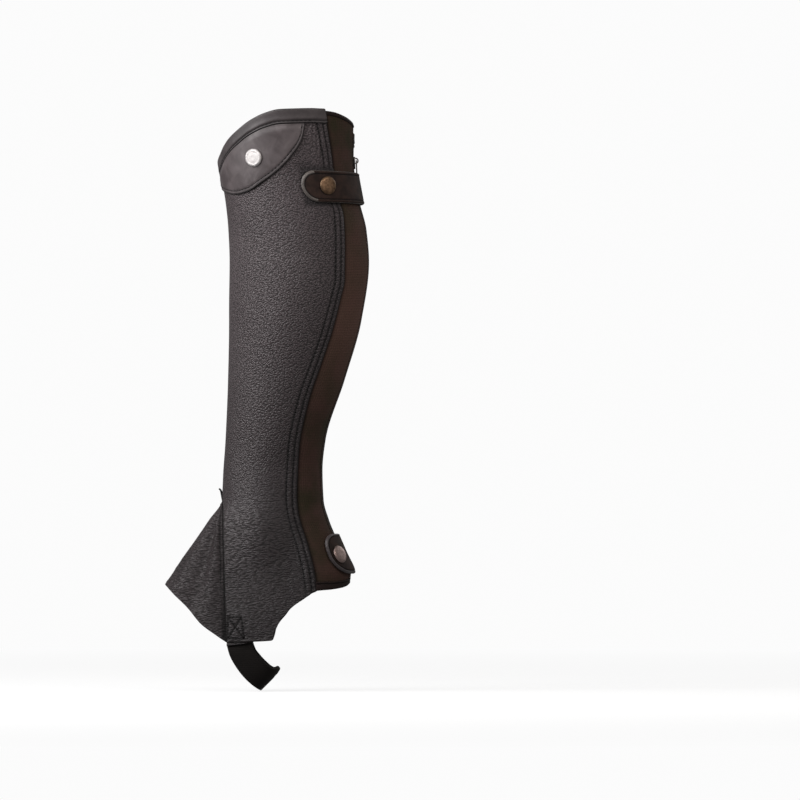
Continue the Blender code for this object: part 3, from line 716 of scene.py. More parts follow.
@dataclass(frozen=True)
class EmbossedCowhide(Finish):
    """Full-grain cowhide, drum dyed, embossed and milled.

    The emboss gives round pebbles over the calf, which lie in slanting rows, and the milling
    draws them out level round the ankle. The colour is darker in the valleys, as painted shade,
    and darker toward the foot and the heel side, as painted shade of the light's falloff over
    soft random clouds of dye; the pebbles' tops are lighter, as a painted highlight.
    """

    second: str = "#372E30"
    # Painted shade colour, blended in toward the foot and the heel side.
    low: str = "#170F11"
    # Painted shade colour for the valleys between the pebbles.
    valley: str = "#120D0D"
    # Painted highlight colour for the pebbles' tops.
    top: str = "#4F4648"
    pebble: float = 1.55 * MM
    pore: float = 0.45 * MM
    depth: float = 0.44 * MM

    def grain(self, tree: Tree, place: Output, turn: float, squeeze: Triple) -> Output:
        """One direction of pebbles, each a low dome.

        Args:
            tree: the material's tree.
            place: the warped places on the flat hide.
            turn: how far the rows are turned, in degrees.
            squeeze: how many times smaller the pebbles are each way.

        Returns:
            Their height, from 0 in the valleys to 1.
        """
        inputs = {"Vector": place, "Rotation": (0.0, 0.0, math.radians(turn)), "Scale": squeeze}
        turned = add_node(tree, "Mapping", inputs)
        inputs = {"Vector": turned, "Scale": 1 / self.pebble, "Smoothness": 0.40}
        cells = {"feature": "SMOOTH_F1", "voronoi_dimensions": "2D"}
        away = add_node(tree, "TexVoronoi", inputs, "Distance", **cells)
        squared = add_node(tree, "Math", {0: away, 1: away}, operation="MULTIPLY")
        return add_node(tree, "MapRange", {0: squared, 1: 0.40, 2: 0.0})

    def dress(self, tree: Tree, shader: Node, place: Output) -> None:
        """Add the pebbles, the pores, the uneven dye, and the painted shade and highlights.

        Args:
            tree: the material's tree.
            shader: its Principled BSDF.
            place: the object coordinates, in metres.
        """
        hide = add_node(tree, "Attribute", out="Vector", attribute_name=LAID_FLAT)
        blot = add_node(tree, "TexNoise", {"Vector": hide, "Scale": 1 / (6 * MM)}, "Color")
        centred = add_node(tree, "VectorMath", {0: blot, 1: (0.5,) * 3}, operation="SUBTRACT")
        inputs = {0: centred, 1: (3.0 * MM,) * 3, 2: hide}
        warped = add_node(tree, "VectorMath", inputs, operation="MULTIPLY_ADD")
        slanting = self.grain(tree, warped, -35, (0.85, 1.15, 1.0))
        level = self.grain(tree, warped, 6, (0.42, 1.45, 1.0))
        height = add_node(tree, "SeparateXYZ", {0: place}, "Z")
        at_ankle = add_node(tree, "MapRange", {0: height, 1: -0.150, 2: -0.215})
        pebbles = add_node(tree, "Mix", {"Factor": at_ankle, 2: slanting, 3: level})

        dyes = self.colour, self.second
        dyed, _, clouds = mottle(tree, place, dyes, 40 * MM, 2.0, (0.35, 0.65))
        # Painted shade: darker toward the foot and the heel side, away from the key light, over
        # soft random clouds of dye.
        inputs = {0: place, 1: (-1.3, 0.0, 1.0)}
        toward_key_light = add_node(tree, "VectorMath", inputs, "Value", operation="DOT_PRODUCT")
        inputs = {0: clouds, 1: 0.16, 2: toward_key_light}
        uneven = add_node(tree, "Math", inputs, operation="MULTIPLY_ADD")
        dye_and_falloff_shade = add_node(tree, "MapRange", {0: uneven, 1: 0.14, 2: -0.16})
        deep = add_node(tree, "MapRange", {0: at_ankle, 3: 0.66, 4: 0.80})
        # Painted shade: the valleys between the pebbles are coloured darker, more so round the
        # ankle.
        sunk = add_node(tree, "MapRange", {0: pebbles, 1: 0.08, 2: 0.45, 3: deep, 4: 0.0})
        # Painted highlight: the pebbles' tops are coloured lighter.
        painted_top_highlight = add_node(tree, "MapRange", {0: pebbles, 1: 0.75, 4: 0.10})
        for share, dye in ((dye_and_falloff_shade, self.low), (sunk, self.valley), (painted_top_highlight, self.top)):
            inputs = {"Factor": share, 6: dyed, 7: linear(dye)}
            dyed = add_node(tree, "Mix", inputs, 2, data_type="RGBA")
        inputs = {0: pebbles, 2: 0.7, 3: deep, 4: self.roughness}
        self.press(tree, shader, dyed, add_node(tree, "MapRange", inputs))
        inputs = {"Height": pebbles, "Distance": self.depth, "Strength": 0.9}
        domed = add_node(tree, "Bump", inputs)
        roughen(tree, shader, place, (self.pore, 2.0, 0.05 * MM, 0.3), below=domed)


@dataclass(frozen=True)
class SmoothCowhide(Finish):
    """Smooth cowhide, dyed and plated, which gives it a soft sheen and cloudy dye."""

    cloud: str = "#433B3C"
    pore: float = 0.5 * MM

    def dress(self, tree: Tree, shader: Node, place: Output) -> None:
        """Add the clouds in the dye, a faint crease pattern and the pores.

        Args:
            tree: the material's tree.
            shader: its Principled BSDF.
            place: the object coordinates, in metres.
        """
        dyes = self.colour, self.cloud
        colour, clouds, _ = mottle(tree, place, dyes, 12 * MM, 4.0, (0.36, 0.66), distortion=0.6)
        inputs = {0: clouds, 3: self.roughness + 0.08, 4: self.roughness}
        self.press(tree, shader, colour, add_node(tree, "MapRange", inputs))
        creases, pores = (2.6 * MM, 4.0, 0.16 * MM, 0.4), (self.pore, 2.0, 0.04 * MM, 0.3)
        roughen(tree, shader, place, creases, pores)


@dataclass(frozen=True)
class Nap(Finish):
    """Leather with a raised nap, buffed, so it is matt with soft darker and lighter strokes."""

    stroke: str = "#2E2320"
    fibre: float = 0.6 * MM

    def dress(self, tree: Tree, shader: Node, place: Output) -> None:
        """Add the strokes of the nap and its fibres.

        Args:
            tree: the material's tree.
            shader: its Principled BSDF.
            place: the object coordinates, in metres.
        """
        dyes = self.colour, self.stroke
        colour, _, _ = mottle(tree, place, dyes, 8 * MM, 4.0, (0.36, 0.64))
        self.press(tree, shader, colour, self.roughness)
        roughen(tree, shader, place, (self.fibre, 4.0, 0.14 * MM, 0.6))


@dataclass(frozen=True)
class Woven(Finish):
    """Cloth woven of fine threads: matt, with crossing threads and uneven dye.

    The real threads are 0.3 mm apart, too fine to show, so they are drawn at the spacing given.
    Where the cloth is stretched, over the calf, its paler core shows between the threads.
    """

    second: str = "#2A211F"
    stretched: str = ""
    spacing: float = 1.2 * MM
    patch: float = 22 * MM

    def dress(self, tree: Tree, shader: Node, place: Output) -> None:
        """Add the threads, the uneven dye and the paler stretched part.

        Args:
            tree: the material's tree.
            shader: its Principled BSDF.
            place: the object coordinates, in metres.
        """
        wave = 0.314 / self.spacing
        inputs = {"Vector": place, "Scale": wave, "Distortion": 0.6, "Detail": 1.0}
        threads = add_node(tree, "TexWave", inputs, "Fac", bands_direction="Z")
        dyes = self.colour, self.second
        colour, _, _ = mottle(tree, place, dyes, self.patch, 3.0, (0.36, 0.64))
        if self.stretched:
            height = add_node(tree, "SeparateXYZ", {0: place}, "Z")
            above = add_node(tree, "MapRange", {0: height, 1: -0.130, 2: -0.040})
            below = add_node(tree, "MapRange", {0: height, 1: 0.060, 2: -0.060})
            pulled = add_node(tree, "Math", {0: above, 1: below}, operation="MULTIPLY")
            inputs = {"Factor": pulled, 6: colour, 7: linear(self.stretched)}
            paler = add_node(tree, "Mix", inputs, 2, data_type="RGBA")
            inputs = {"Factor": 0.75, 6: colour, 7: paler}
            colour = add_node(tree, "Mix", inputs, 2, data_type="RGBA")
        shade = add_node(tree, "MapRange", {0: threads, 3: 0.35, 4: 0.0})
        inputs = {"Factor": shade, 6: colour, 7: linear("#0E0B0A")}
        crossed = add_node(tree, "Mix", inputs, 2, data_type="RGBA")
        self.press(tree, shader, crossed, self.roughness)
        ribbed = add_node(tree, "Bump", {"Height": threads, "Distance": 0.10 * MM, "Strength": 0.5})
        roughen(tree, shader, place, (0.7 * MM, 2.0, 0.06 * MM, 0.4), below=ribbed)


@dataclass(frozen=True)
class PlatedMetal(Finish):
    """Pressed metal, plated and tumbled: bright, with a faint satin and duller patches at random.
    """

    dull: str = "#8E8A86"
    patina: float = 0.3

    def dress(self, tree: Tree, shader: Node, place: Output) -> None:
        """Add the dull places and the tumbling marks.

        Args:
            tree: the material's tree.
            shader: its Principled BSDF.
            place: the object coordinates, in metres.
        """
        dyes, span = (self.colour, self.dull), (0.42, 0.72)
        colour, _, marks = mottle(tree, place, dyes, 2.2 * MM, 4.0, span, self.patina)
        tree.links.new(colour, shader.inputs["Base Color"])
        inputs = {0: marks, 1: 0.3, 2: 0.7, 3: self.roughness, 4: self.roughness + 0.12}
        tree.links.new(add_node(tree, "MapRange", inputs), shader.inputs["Roughness"])
        roughen(tree, shader, place, (0.5 * MM, 2.0, 0.01 * MM, 0.25))


@dataclass(frozen=True)
class Thread(Finish):
    """Bonded polyester thread: waxy, with a twist that breaks up its shine."""

    def dress(self, tree: Tree, shader: Node, place: Output) -> None:
        """Add the twist, drawn twice as coarse as the real 0.2 mm plies so that it shows."""
        roughen(tree, shader, place, (0.4 * MM, 2.0, 0.08 * MM, 0.5))


class Finishes:
    """The half chap's finishes."""

    # Soft grey-black pebbles with a satin gleam on their tops, which a painted highlight lightens
    PEBBLED = EmbossedCowhide("embossed_cowhide", Slot.PEBBLED, "#433A3C", 0.46, specular=0.45)
    # The same hide on the instep, coloured darker as painted shade, with a duller gloss
    CREASED = EmbossedCowhide("instep_cowhide_painted_shade", Slot.PEBBLED, "#352D2E", 0.50, specular=0.36)
    # The plated patch: an even grey-black with soft lighter clouds
    SMOOTH = SmoothCowhide("plated_cowhide", Slot.SMOOTH, "#3B3334", 0.46, specular=0.42,
                           cloud="#51494A")
    # The same leather rolled over an edge, which keeps its dye darker
    ROLLED = SmoothCowhide("rolled_cowhide", Slot.SMOOTH, "#2E2829", 0.46, specular=0.42,
                           cloud="#3C3536")
    # Cut edges sealed with dark dye, so they read as thin matt lines
    EDGE = Nap("dyed_cut_edge", Slot.PEBBLED, "#171313", 0.65, specular=0.3, stroke="#241E1E")
    # The leather's fibrous inner side, undyed: a soft warm grey
    FLESH = Nap("suede_flesh_side", Slot.PEBBLED, "#4A403A", 0.9, specular=0.2, sheen=0.2,
                stroke="#3A312C")
    # The tabs' buffed leather: almost black-brown and quite matt
    TAB = Nap("nubuck", Slot.TAB, "#1F1613", 0.75, specular=0.15, stroke="#2E211C")
    # The top tab's turned edge by its tip: smoother, and coloured lighter as a painted highlight
    TAB_RIM = SmoothCowhide("tab_rim_painted_highlight", Slot.TAB, "#3A3532", 0.5, cloud="#57504C")
    # Covered rubber threads: matt brown, with level ribs
    ELASTIC = Woven("ribbed_elastic_web", Slot.ELASTIC, "#412F29", 0.8, specular=0.12,
                    second="#302A1D", stretched="#624840", spacing=1.3 * MM)
    # Fine ribbed tape, dark brown and matt
    BINDING = Woven("grosgrain_tape", Slot.BINDING, "#1A1210", 0.75, specular=0.15,
                    second="#231816", spacing=1.0 * MM)
    # Dense knitted elastic, nearly black
    WEBBING = Woven("knitted_elastic_strap", Slot.WEBBING, "#130F0D", 0.8, specular=0.15,
                    second="#0D0A09", spacing=1.6 * MM)
    # Woven polyester tape, flat and dark
    TAPE = Woven("woven_zip_tape", Slot.ZIP, "#1A1413", 0.8, specular=0.25, second="#14100F",
                 spacing=1.1 * MM)
    # Moulded acetal teeth, smooth enough for small glints
    TEETH = Finish("moulded_acetal", Slot.ZIP, "#1B1817", 0.35)
    # Waxed black thread
    THREAD = Thread("bonded_polyester_thread", Slot.BINDING, "#0C0909", 0.75, specular=0.2)
    # The badge snap: pale and softly satin, close to white in the light
    NICKEL = PlatedMetal("nickel_plated_brass", Slot.BRIGHT, "#BFBBBA", 0.55, 1.0, dull="#B8B4B3")
    # The slider: a duller cast zinc under thin nickel
    SLIDER = PlatedMetal("nickel_plated_zinc", Slot.BRIGHT, "#64605E", 0.30, 1.0)
    # The heel snap: a grey-pink gunmetal with darker mottling
    GUNMETAL = PlatedMetal("gunmetal_plated_brass", Slot.BRONZE, "#8F7D78", 0.4, 1.0,
                           dull="#5E4F4B", patina=0.5)
    # The top snap: warm bronze with dark mottling
    BRONZE = PlatedMetal("antiqued_brass", Slot.BRONZE, "#745D49", 0.42, 1.0, dull="#3A2B21",
                         patina=0.8)


def put(name: str, data: bpy.types.ID, place: Sequence[float] = (0.0, 0.0, 0.0)) -> Piece:
    """Put a mesh, a light or a camera in the scene.

    Args:
        name: its name.
        data: the mesh, the light or the camera.
        place: where it stands.

    Returns:
        The object.
    """
    thing = bpy.data.objects.new(name, data)
    thing.location = place
    bpy.context.scene.collection.objects.link(thing)
    return thing


def place_piece(
    mesh: bpy.types.Mesh, finishes: Sequence[Finish], sharp: float = 50.0, body: str = BODY
) -> Piece:
    """Dress a mesh and put it in the scene on a body.

    Args:
        mesh: the mesh, whose name the piece takes.
        finishes: its finishes, in the order of the faces' finish numbers.
        sharp: the angle in degrees above which an edge is shaded sharp.
        body: the body that it rides on.

    Returns:
        The piece.
    """
    for finish in finishes:
        mesh.materials.append(finish.material())
    mesh.shade_smooth()
    mesh.set_sharp_from_angle(angle=math.radians(sharp))
    piece = put(mesh.name, mesh)
    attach(piece, body)
    LOG.info("%s: %d faces", mesh.name, len(mesh.polygons))
    return piece


def new_piece(
    name: str,
    points: Array,
    faces: Sequence[Sequence[int]],
    finishes: Sequence[Finish],
    indices: Optional[Sequence[int]] = None,
    sharp: float = 50.0,
) -> Piece:
    """Make a mesh piece that rides on a body.

    Args:
        name: the piece's name.
        points: its points.
        faces: lists of point numbers.
        finishes: its finishes; faces given no finish number take the first.
        indices: the finish of each face, or none for the first.
        sharp: the angle in degrees above which an edge is shaded sharp.

    Returns:
        The piece.
    """
    mesh = bpy.data.meshes.new(name)
    mesh.from_pydata(np.asarray(points).tolist(), [], faces)
    if indices is not None:
        mesh.polygons.foreach_set("material_index", list(indices))
    return place_piece(mesh, finishes, sharp)


def grid_quads(rows: int, columns: int, wrap: bool = False) -> Array:
    """The quads of a grid of points, a row after another.

    Args:
        rows: the number of rows.
        columns: the number of points in a row.
        wrap: whether each row closes on itself.

    Returns:
        Four point numbers for each quad.
    """
    ids = np.arange(rows * columns).reshape(rows, columns)
    if wrap:
        ids = np.concatenate([ids, ids[:, :1]], axis=1)
    quads = [ids[:-1, :-1], ids[:-1, 1:], ids[1:, 1:], ids[1:, :-1]]
    return np.stack(quads, axis=-1).reshape(-1, 4)


def tube_faces(rings: int, sides: int, tubes: int = 1) -> List[List[int]]:
    """The faces of closed tubes, each of some rings of points and capped at both ends.

    Args:
        rings: the number of rings in a tube.
        sides: the number of points in a ring.
        tubes: the number of tubes, a tube's points after another's.

    Returns:
        The point numbers of each face.
    """
    count = rings * sides
    ends = [list(range(sides))[::-1], list(range(count - sides, count))]
    faces = grid_quads(rings, sides, wrap=True).tolist() + ends
    return [[i + tube * count for i in face] for tube in range(tubes) for face in faces]


def closed_sheet(
    name: str,
    outers: Sequence[Array],
    inners: Sequence[Array],
    finishes: Sequence[Finish],
    roundness: float = 0.5,
    marks: Optional[Array] = None,
    pressed: Optional[Sequence[Array]] = None,
    flats: Optional[Sequence[Array]] = None,
) -> Piece:
    """A sheet of some thickness with rounded edges, from grids of points on its two faces.

    Args:
        name: the piece's name.
        outers: grids of points on the outer face, which join where their points meet.
        inners: the points under them, in the same order.
        finishes: the finishes of the outer face, the inner face and the edge.
        roundness: how far the edge bulges, as a share of half the thickness.
        marks: the number of the finish of each outer face, or none for the first.
        pressed: how dark each outer point is painted as shade, from 0 to 1.
        flats: where each outer point lies on the flat hide, for its grain.

    Returns:
        The piece.
    """
    loops = 3
    over = np.concatenate([grid.reshape(-1, 3) for grid in outers])
    under = np.concatenate([grid.reshape(-1, 3) for grid in inners])
    _, first, index = np.unique(
        np.round(over, 6), axis=0, return_index=True, return_inverse=True
    )
    index = index.reshape(-1)
    over, under = over[first], under[first]
    count = len(over)
    quads, start = [], 0
    for grid in outers:
        rows, columns = grid.shape[:2]
        quads.append(index[start + grid_quads(rows, columns)])
        start += rows * columns
    faces = [list(dict.fromkeys(quad)) for quad in np.concatenate(quads).tolist()]
    outer_marks = [0] * len(faces) if marks is None else list(marks)
    outer_marks = [mark for mark, face in zip(outer_marks, faces) if len(face) > 2]
    faces = [face for face in faces if len(face) > 2]

    used = {edge for face in faces for edge in zip(face, face[1:] + face[:1])}
    edges = np.array([edge for edge in used if edge[::-1] not in used])
    edges = edges[np.lexsort(edges.T)]
    rim, place = np.unique(edges, return_inverse=True)
    place = place.reshape(edges.shape)
    half = (over - under)[rim] / 2
    size = np.linalg.norm(half, axis=1, keepdims=True)
    along = over[edges[:, 1]] - over[edges[:, 0]]
    aside = np.cross(along, (over - under)[edges[:, 0]])
    away = np.zeros((len(rim), 3))
    np.add.at(away, place[:, 0], aside)
    np.add.at(away, place[:, 1], aside)
    away /= np.maximum(np.linalg.norm(away, axis=1, keepdims=True), 1e-12)
    rings = []
    for i in range(1, loops + 1):
        turn = math.pi * i / (loops + 1)
        middle = (over + under)[rim] / 2
        rings.append(middle + half * math.cos(turn) + away * size * math.sin(turn) * roundness)

    ladder = [rim] + [2 * count + i * len(rim) + np.arange(len(rim)) for i in range(loops)]
    ladder.append(rim + count)
    walls = []
    for above, below in zip(ladder, ladder[1:]):
        a, b = place[:, 0], place[:, 1]
        walls.append(np.stack([above[b], above[a], below[a], below[b]], axis=1))
    edge_faces = np.concatenate(walls).tolist()
    backs = [[i + count for i in reversed(face)] for face in faces]
    points = np.concatenate([over, under, *rings])
    indices = outer_marks + [1] * len(backs) + [2] * len(edge_faces)
    piece = new_piece(name, points, faces + backs + edge_faces, finishes, indices)
    depth = np.zeros(len(points))
    # The painted shade goes on the outer points as an attribute that the finishes read.
    if pressed is not None:
        depth[:count] = np.concatenate([grid.reshape(-1) for grid in pressed])[first]
    attribute = piece.data.attributes.new(PAINTED_SHADE, "FLOAT", "POINT")
    attribute.data.foreach_set("value", depth)
    if flats is not None:
        laid = np.zeros((len(points), 3))
        laid[:count] = np.concatenate([grid.reshape(-1, 3) for grid in flats])[first]
        attribute = piece.data.attributes.new(LAID_FLAT, "FLOAT_VECTOR", "POINT")
        attribute.data.foreach_set("vector", laid.ravel())
    return piece


def line_lengths(points: Array) -> Array:
    """The distance along a line of points to each of them."""
    steps = np.linalg.norm(np.diff(points, axis=0), axis=1)
    return np.concatenate([[0.0], np.cumsum(steps)])


def along_line(points: Array, lengths: Array, places: Array) -> Array:
    """Points at some distances along a line."""
    return np.stack([np.interp(places, lengths, points[:, i]) for i in range(3)], axis=-1)


@dataclass
class Stitching:
    """Rows of lockstitch: each stitch is a short bent roll of thread that dips at its ends."""

    pitch: float = 3.6 * MM
    share: float = 0.74
    radius: float = 0.34 * MM
    rings: int = 5
    sides: int = 6

    def sew(self, name: str, rows: Sequence[Row]) -> None:
        """Sew some rows as one piece.

        Args:
            name: the piece's name.
            rows: the line of points of each row and the direction out of the surface at each.
        """
        centres, outs = [], []
        share = np.linspace(-0.5, 0.5, self.rings) * self.share
        for points, normals in rows:
            lengths = line_lengths(points)
            number = max(1, round(lengths[-1] / self.pitch))
            pitch = lengths[-1] / number
            places = (np.arange(number)[:, None] + 0.5 + share[None, :]) * pitch
            centres.append(along_line(points, lengths, places))
            outs.append(along_line(normals, lengths, places))
        centre, out = np.concatenate(centres), np.concatenate(outs)
        out /= np.linalg.norm(out, axis=-1, keepdims=True)
        along = np.gradient(centre, axis=1)
        along /= np.maximum(np.linalg.norm(along, axis=-1, keepdims=True), 1e-12)
        aside = np.cross(along, out)
        arch = np.cos(np.linspace(-1, 1, self.rings) * math.pi / 2)
        lift = self.radius * (-0.7 + 1.25 * arch)
        size = self.radius * (0.55 + 0.45 * np.sqrt(arch))
        centre = centre + out * lift[None, :, None]
        turn = np.arange(self.sides) * 2 * math.pi / self.sides
        ring = out[:, :, None, :] * np.cos(turn)[None, None, :, None]
        ring = ring + aside[:, :, None, :] * np.sin(turn)[None, None, :, None]
        points = centre[:, :, None, :] + ring * size[None, :, None, None]
        faces = tube_faces(self.rings, self.sides, len(points))
        new_piece(name, points.reshape(-1, 3), faces, [Finishes.THREAD])


def spaced(*stops: Tuple[float, int]) -> Array:
    """Shares from 0 in steps: each stop gives the next share and the number of steps to it.

    Args:
        stops: for each, a share and a number of steps.

    Returns:
        The shares.
    """
    shares, last = [np.zeros(1)], 0.0
    for stop, steps in stops:
        shares.append(np.linspace(last, stop, steps + 1)[1:])
        last = stop
    return np.concatenate(shares)


def groove(distance: Array, middle: float, width: float, depth: float) -> Array:
    """The sunk line that a row of stitching pulls into leather."""
    return -depth * bell(distance, middle, width)


@dataclass(frozen=True)
class Cut:
    """A sheet as it was cut: its width and length, its area, what holds it and how."""

    flat: Pair
    area: float
    rests_on: Tuple[str, ...] = ("main_leather",)
    held: str = "stretched"

    def declare(self, piece: Piece) -> None:
        """Do nothing: the piece is not declared as this sheet."""


def lay_sheet(
    form: LegForm,
    name: str,
    node: Optional[str],
    cut: Cut,
    grids: Sequence[Tuple[Array, Array, Array, Array]],
    finishes: Sequence[Finish],
    roundness: float = 0.5,
    marks: Optional[Array] = None,
    pressed: Optional[Sequence[Array]] = None,
    on_hide: bool = False,
) -> None:
    """Lay a sheet on the leg in place of its solid.

    Args:
        form: the leg.
        name: the piece's name.
        node: the solid that it replaces, if any.
        cut: how the sheet was cut.
        grids: the angles, heights and outer and inner distances out of each grid of its faces.
        finishes: the finishes of the outer face, the inner face and the edge.
        roundness: how far the edge bulges, as a share of half the thickness.
        marks: the number of the finish of each outer face, or none for the first.
        pressed: how dark each outer point is painted as shade, from 0 to 1.
        on_hide: whether its grain needs its places on the flat hide.
    """
    outers = [form.point(angle, height, outer) for angle, height, outer, _ in grids]
    inners = [form.point(angle, height, inner) for angle, height, _, inner in grids]
    flats = [form.laid_flat(angle, height) for angle, height, _, _ in grids] if on_hide else None
    piece = closed_sheet(name, outers, inners, finishes, roundness, marks, pressed, flats)
    if node:
        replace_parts(piece, node)
    cut.declare(piece)


def shifted(line: Line, by: float) -> Line:
    """An edge that runs beside another, higher by a distance."""
    return lambda places: line(places) + by


class StrapBox:
    """The box with a cross that sews the foot strap to the leather, as the side view shows it."""

    BOTTOM, TOP = -0.3043, -0.2871
    CORNERS = ((-0.0573, TOP), (-0.0461, TOP), (-0.0440, BOTTOM), (-0.0573, BOTTOM))

    @classmethod
    def lines(cls) -> List[Tuple[Pair, Pair]]:
        """The four sides and the two diagonals, each as its two ends."""
        return list(combinations(cls.CORNERS, 2))

    @staticmethod
    def distance(x: Array, height: Array, start: Pair, end: Pair) -> Array:
        """The distance in the side view from a line between two corners.

        Args:
            x: where the side view shows the places.
            height: heights in metres.
            start: the line's first end.
            end: its other end.

        Returns:
            The distances in metres.
        """
        (x0, z0), (x1, z1) = start, end
        run, rise = x1 - x0, z1 - z0
        share = ((x - x0) * run + (height - z0) * rise) / (run**2 + rise**2)
        share = np.clip(share, 0.0, 1.0)
        return np.hypot(x - x0 - share * run, height - z0 - share * rise)


@dataclass
class MainLeather:
    """The pebbled leather, from the elastic seam round the shin to the zip."""

    form: LegForm
    cut: Cut = Cut((0.345, 0.425), 0.0880, ("leather_top_binding",))
    thickness: float = 2.0 * MM
    row: float = 1.5 * MM
    first_stitches: float = 4.2 * MM
    second_stitches: float = 9.4 * MM
    zip_stitches: float = 3.0 * MM
    groove_width: float = 1.0 * MM
    bead_pitch: float = 3.7 * MM
    sway: SoftNoise = SoftNoise(11)
    fold: SoftNoise = SoftNoise(23)
    crease: SoftNoise = SoftNoise(31)

    # The ankle bone under the leather and the hollow behind it, as the side view shows them
    SWELLS = (
        ((-0.0334, -0.2205, 14 * MM, 20 * MM), 3.0 * MM),
        ((-0.0080, -0.2440, 16 * MM, 20 * MM), -2.9 * MM),
        ((-0.0420, -0.2900, 12 * MM, 14 * MM), 0.7 * MM),
    )

    def from_elastic(self, angle: Array, height: Array) -> Array:
        """The distance from the elastic seam, which no place on the inner side is near."""
        distance = self.form.distance(self.form.elastic_seam, angle, height)
        return np.where(angle > 0, distance, 1.0)

    def lines(self, angle: Array, height: Array) -> List[Tuple[Array, float, float]]:
        """The sunk lines: each one's strength, depth in metres and painted shade's darkness.

        Args:
            angle: angles in degrees.
            height: heights in metres.

        Returns:
            The lines, with their strengths at these places.
        """
        form = self.form
        outer = angle > 0
        from_elastic = self.from_elastic(angle, height)
        away = -form.distance(form.gusset_seam, np.abs(angle), height)
        below = ramp(height, GUSSET_SEAM[0].height + 1 * MM, GUSSET_SEAM[0].height - 5 * MM)
        to_zip = (180 - np.abs(angle)) * form.speed(angle, height)
        to_zip = np.where(outer, 1.0, to_zip)
        patch = form.patch_edge(angle) - height
        on_patch = ramp(angle, -35, -33) * ramp(angle, 107, 105)
        under_band = form.band_edge(angle) - height
        width = self.groove_width
        lines = [
            # Each line sinks the leather and paints shade along the dip; some lines are painted
            # shade only.
            (bell(from_elastic, self.first_stitches, width), 0.55 * MM, 0.92),
            (bell(from_elastic, self.second_stitches, width), 0.55 * MM, 0.92),
            (bell(from_elastic, -0.2 * MM, 1.2 * MM), 0.45 * MM, 0.95),
            (below * bell(away, 0.0, 1.0 * MM), 0.80 * MM, 1.0),
            (bell(to_zip, 7 * MM + self.zip_stitches, width), 0.35 * MM, 0.6),
            # Painted shadows only, with no depth: below the patch's lower edge and below the
            # binding's.
            (on_patch * bell(patch, 0.1 * MM, 0.9 * MM), 0.0, 0.8),
            (bell(under_band, 0.0, 1.2 * MM), 0.0, 0.8),
        ]
        for middle, slope in ((0.0787, 0.00006), (0.0744, 0.00016)):
            window = ramp(angle, 97, 101) * ramp(angle, 114, 110)
            line = height - middle - (angle - 104) * slope - 0.3 * MM * np.sin(angle * 0.9)
            lines.append((bell(line, 0.0, 0.8 * MM) * window, 0.50 * MM, 0.6))
        # A painted shadow round the top strap's tip, over a shallow dip.
        past_tip = np.maximum(103.0 - angle, 0.0) * form.speed(angle, height)
        past_side = np.maximum(np.abs(height - 0.0606) - 14.5 * MM, 0.0)
        round_strap = np.where(outer, np.hypot(past_tip, past_side), 1.0)
        lines.append((bell(round_strap, 0.0, 2.2 * MM), 0.60 * MM, 0.70))
        x = form.skin(angle, height)[..., 0]
        for start, end in StrapBox.lines():
            from_line = StrapBox.distance(x, height, start, end)
            lines.append((bell(from_line, 0.0, 0.9 * MM), 0.40 * MM, 1.0))
        return lines

    def pressed(self, angle: Array, height: Array) -> Array:
        """How dark the painted shade along the lines makes the leather, from 0 to 1."""
        return np.max([strength * dark for strength, _, dark in self.lines(angle, height)], axis=0)

    def relief(self, angle: Array, height: Array) -> Array:
        """How far the leather's face stands out of the plain leg.

        Args:
            angle: angles in degrees.
            height: heights in metres.

        Returns:
            The distances out of the leg, in metres.
        """
        form = self.form
        angle, height = np.broadcast_arrays(np.asarray(angle, float), height)
        from_elastic = self.from_elastic(angle, height)
        near = ramp(from_elastic, 12 * MM, 8.5 * MM)
        beads = np.sin(2 * math.pi * height / self.bead_pitch)
        relief = 0.38 * MM * near * ramp(from_elastic, 0.0, 2.0 * MM)
        relief += beads * 0.20 * MM * bell(from_elastic, 6.8 * MM, 2.0 * MM)
        relief += beads * 0.15 * MM * bell(from_elastic, 2.0 * MM, 1.3 * MM)
        for strength, depth, _ in self.lines(angle, height):
            relief -= depth * strength

        under_band = form.band_edge(angle) - height
        puckers = np.sin(2 * math.pi * angle / 3.6 + 2.5 * self.sway(angle / 9, height * 60))
        pucker_window = ramp(angle, 96, 104) * ramp(under_band, 42 * MM, 2 * MM)
        relief += puckers * 0.48 * MM * pucker_window * ramp(from_elastic, 4 * MM, 9 * MM)

        relief += 0.35 * MM * self.sway(angle / 27, height / (38 * MM))
        x = form.skin(angle, height)[..., 0]
        for (middle_x, middle_height, wide, tall), rise in self.SWELLS:
            swell = bell(x, middle_x, wide) * bell(height, middle_height, tall)
            relief += rise * swell * ramp(from_elastic, 0.0, 12 * MM)
        low = ramp(height, -0.185, -0.235)
        swing = 2.2 * self.sway(angle / 16 + 9, height / (30 * MM))
        waves = 1 - np.abs(self.fold(angle / 13 + swing * 0.3, height / (6.0 * MM) + swing))
        relief += low * 0.42 * MM * (waves**3 - 0.35)
        fine = 1 - np.abs(self.crease(angle / 7, height / (3.2 * MM) + swing))
        at_seam = ramp(from_elastic, 32 * MM, 12 * MM) * ramp(height, -0.12, -0.17)
        relief += 0.16 * MM * (fine**2 - 0.4) * np.maximum(low * 0.6, at_seam)
        return relief * (1 - 0.85 * self.covered(angle, height))

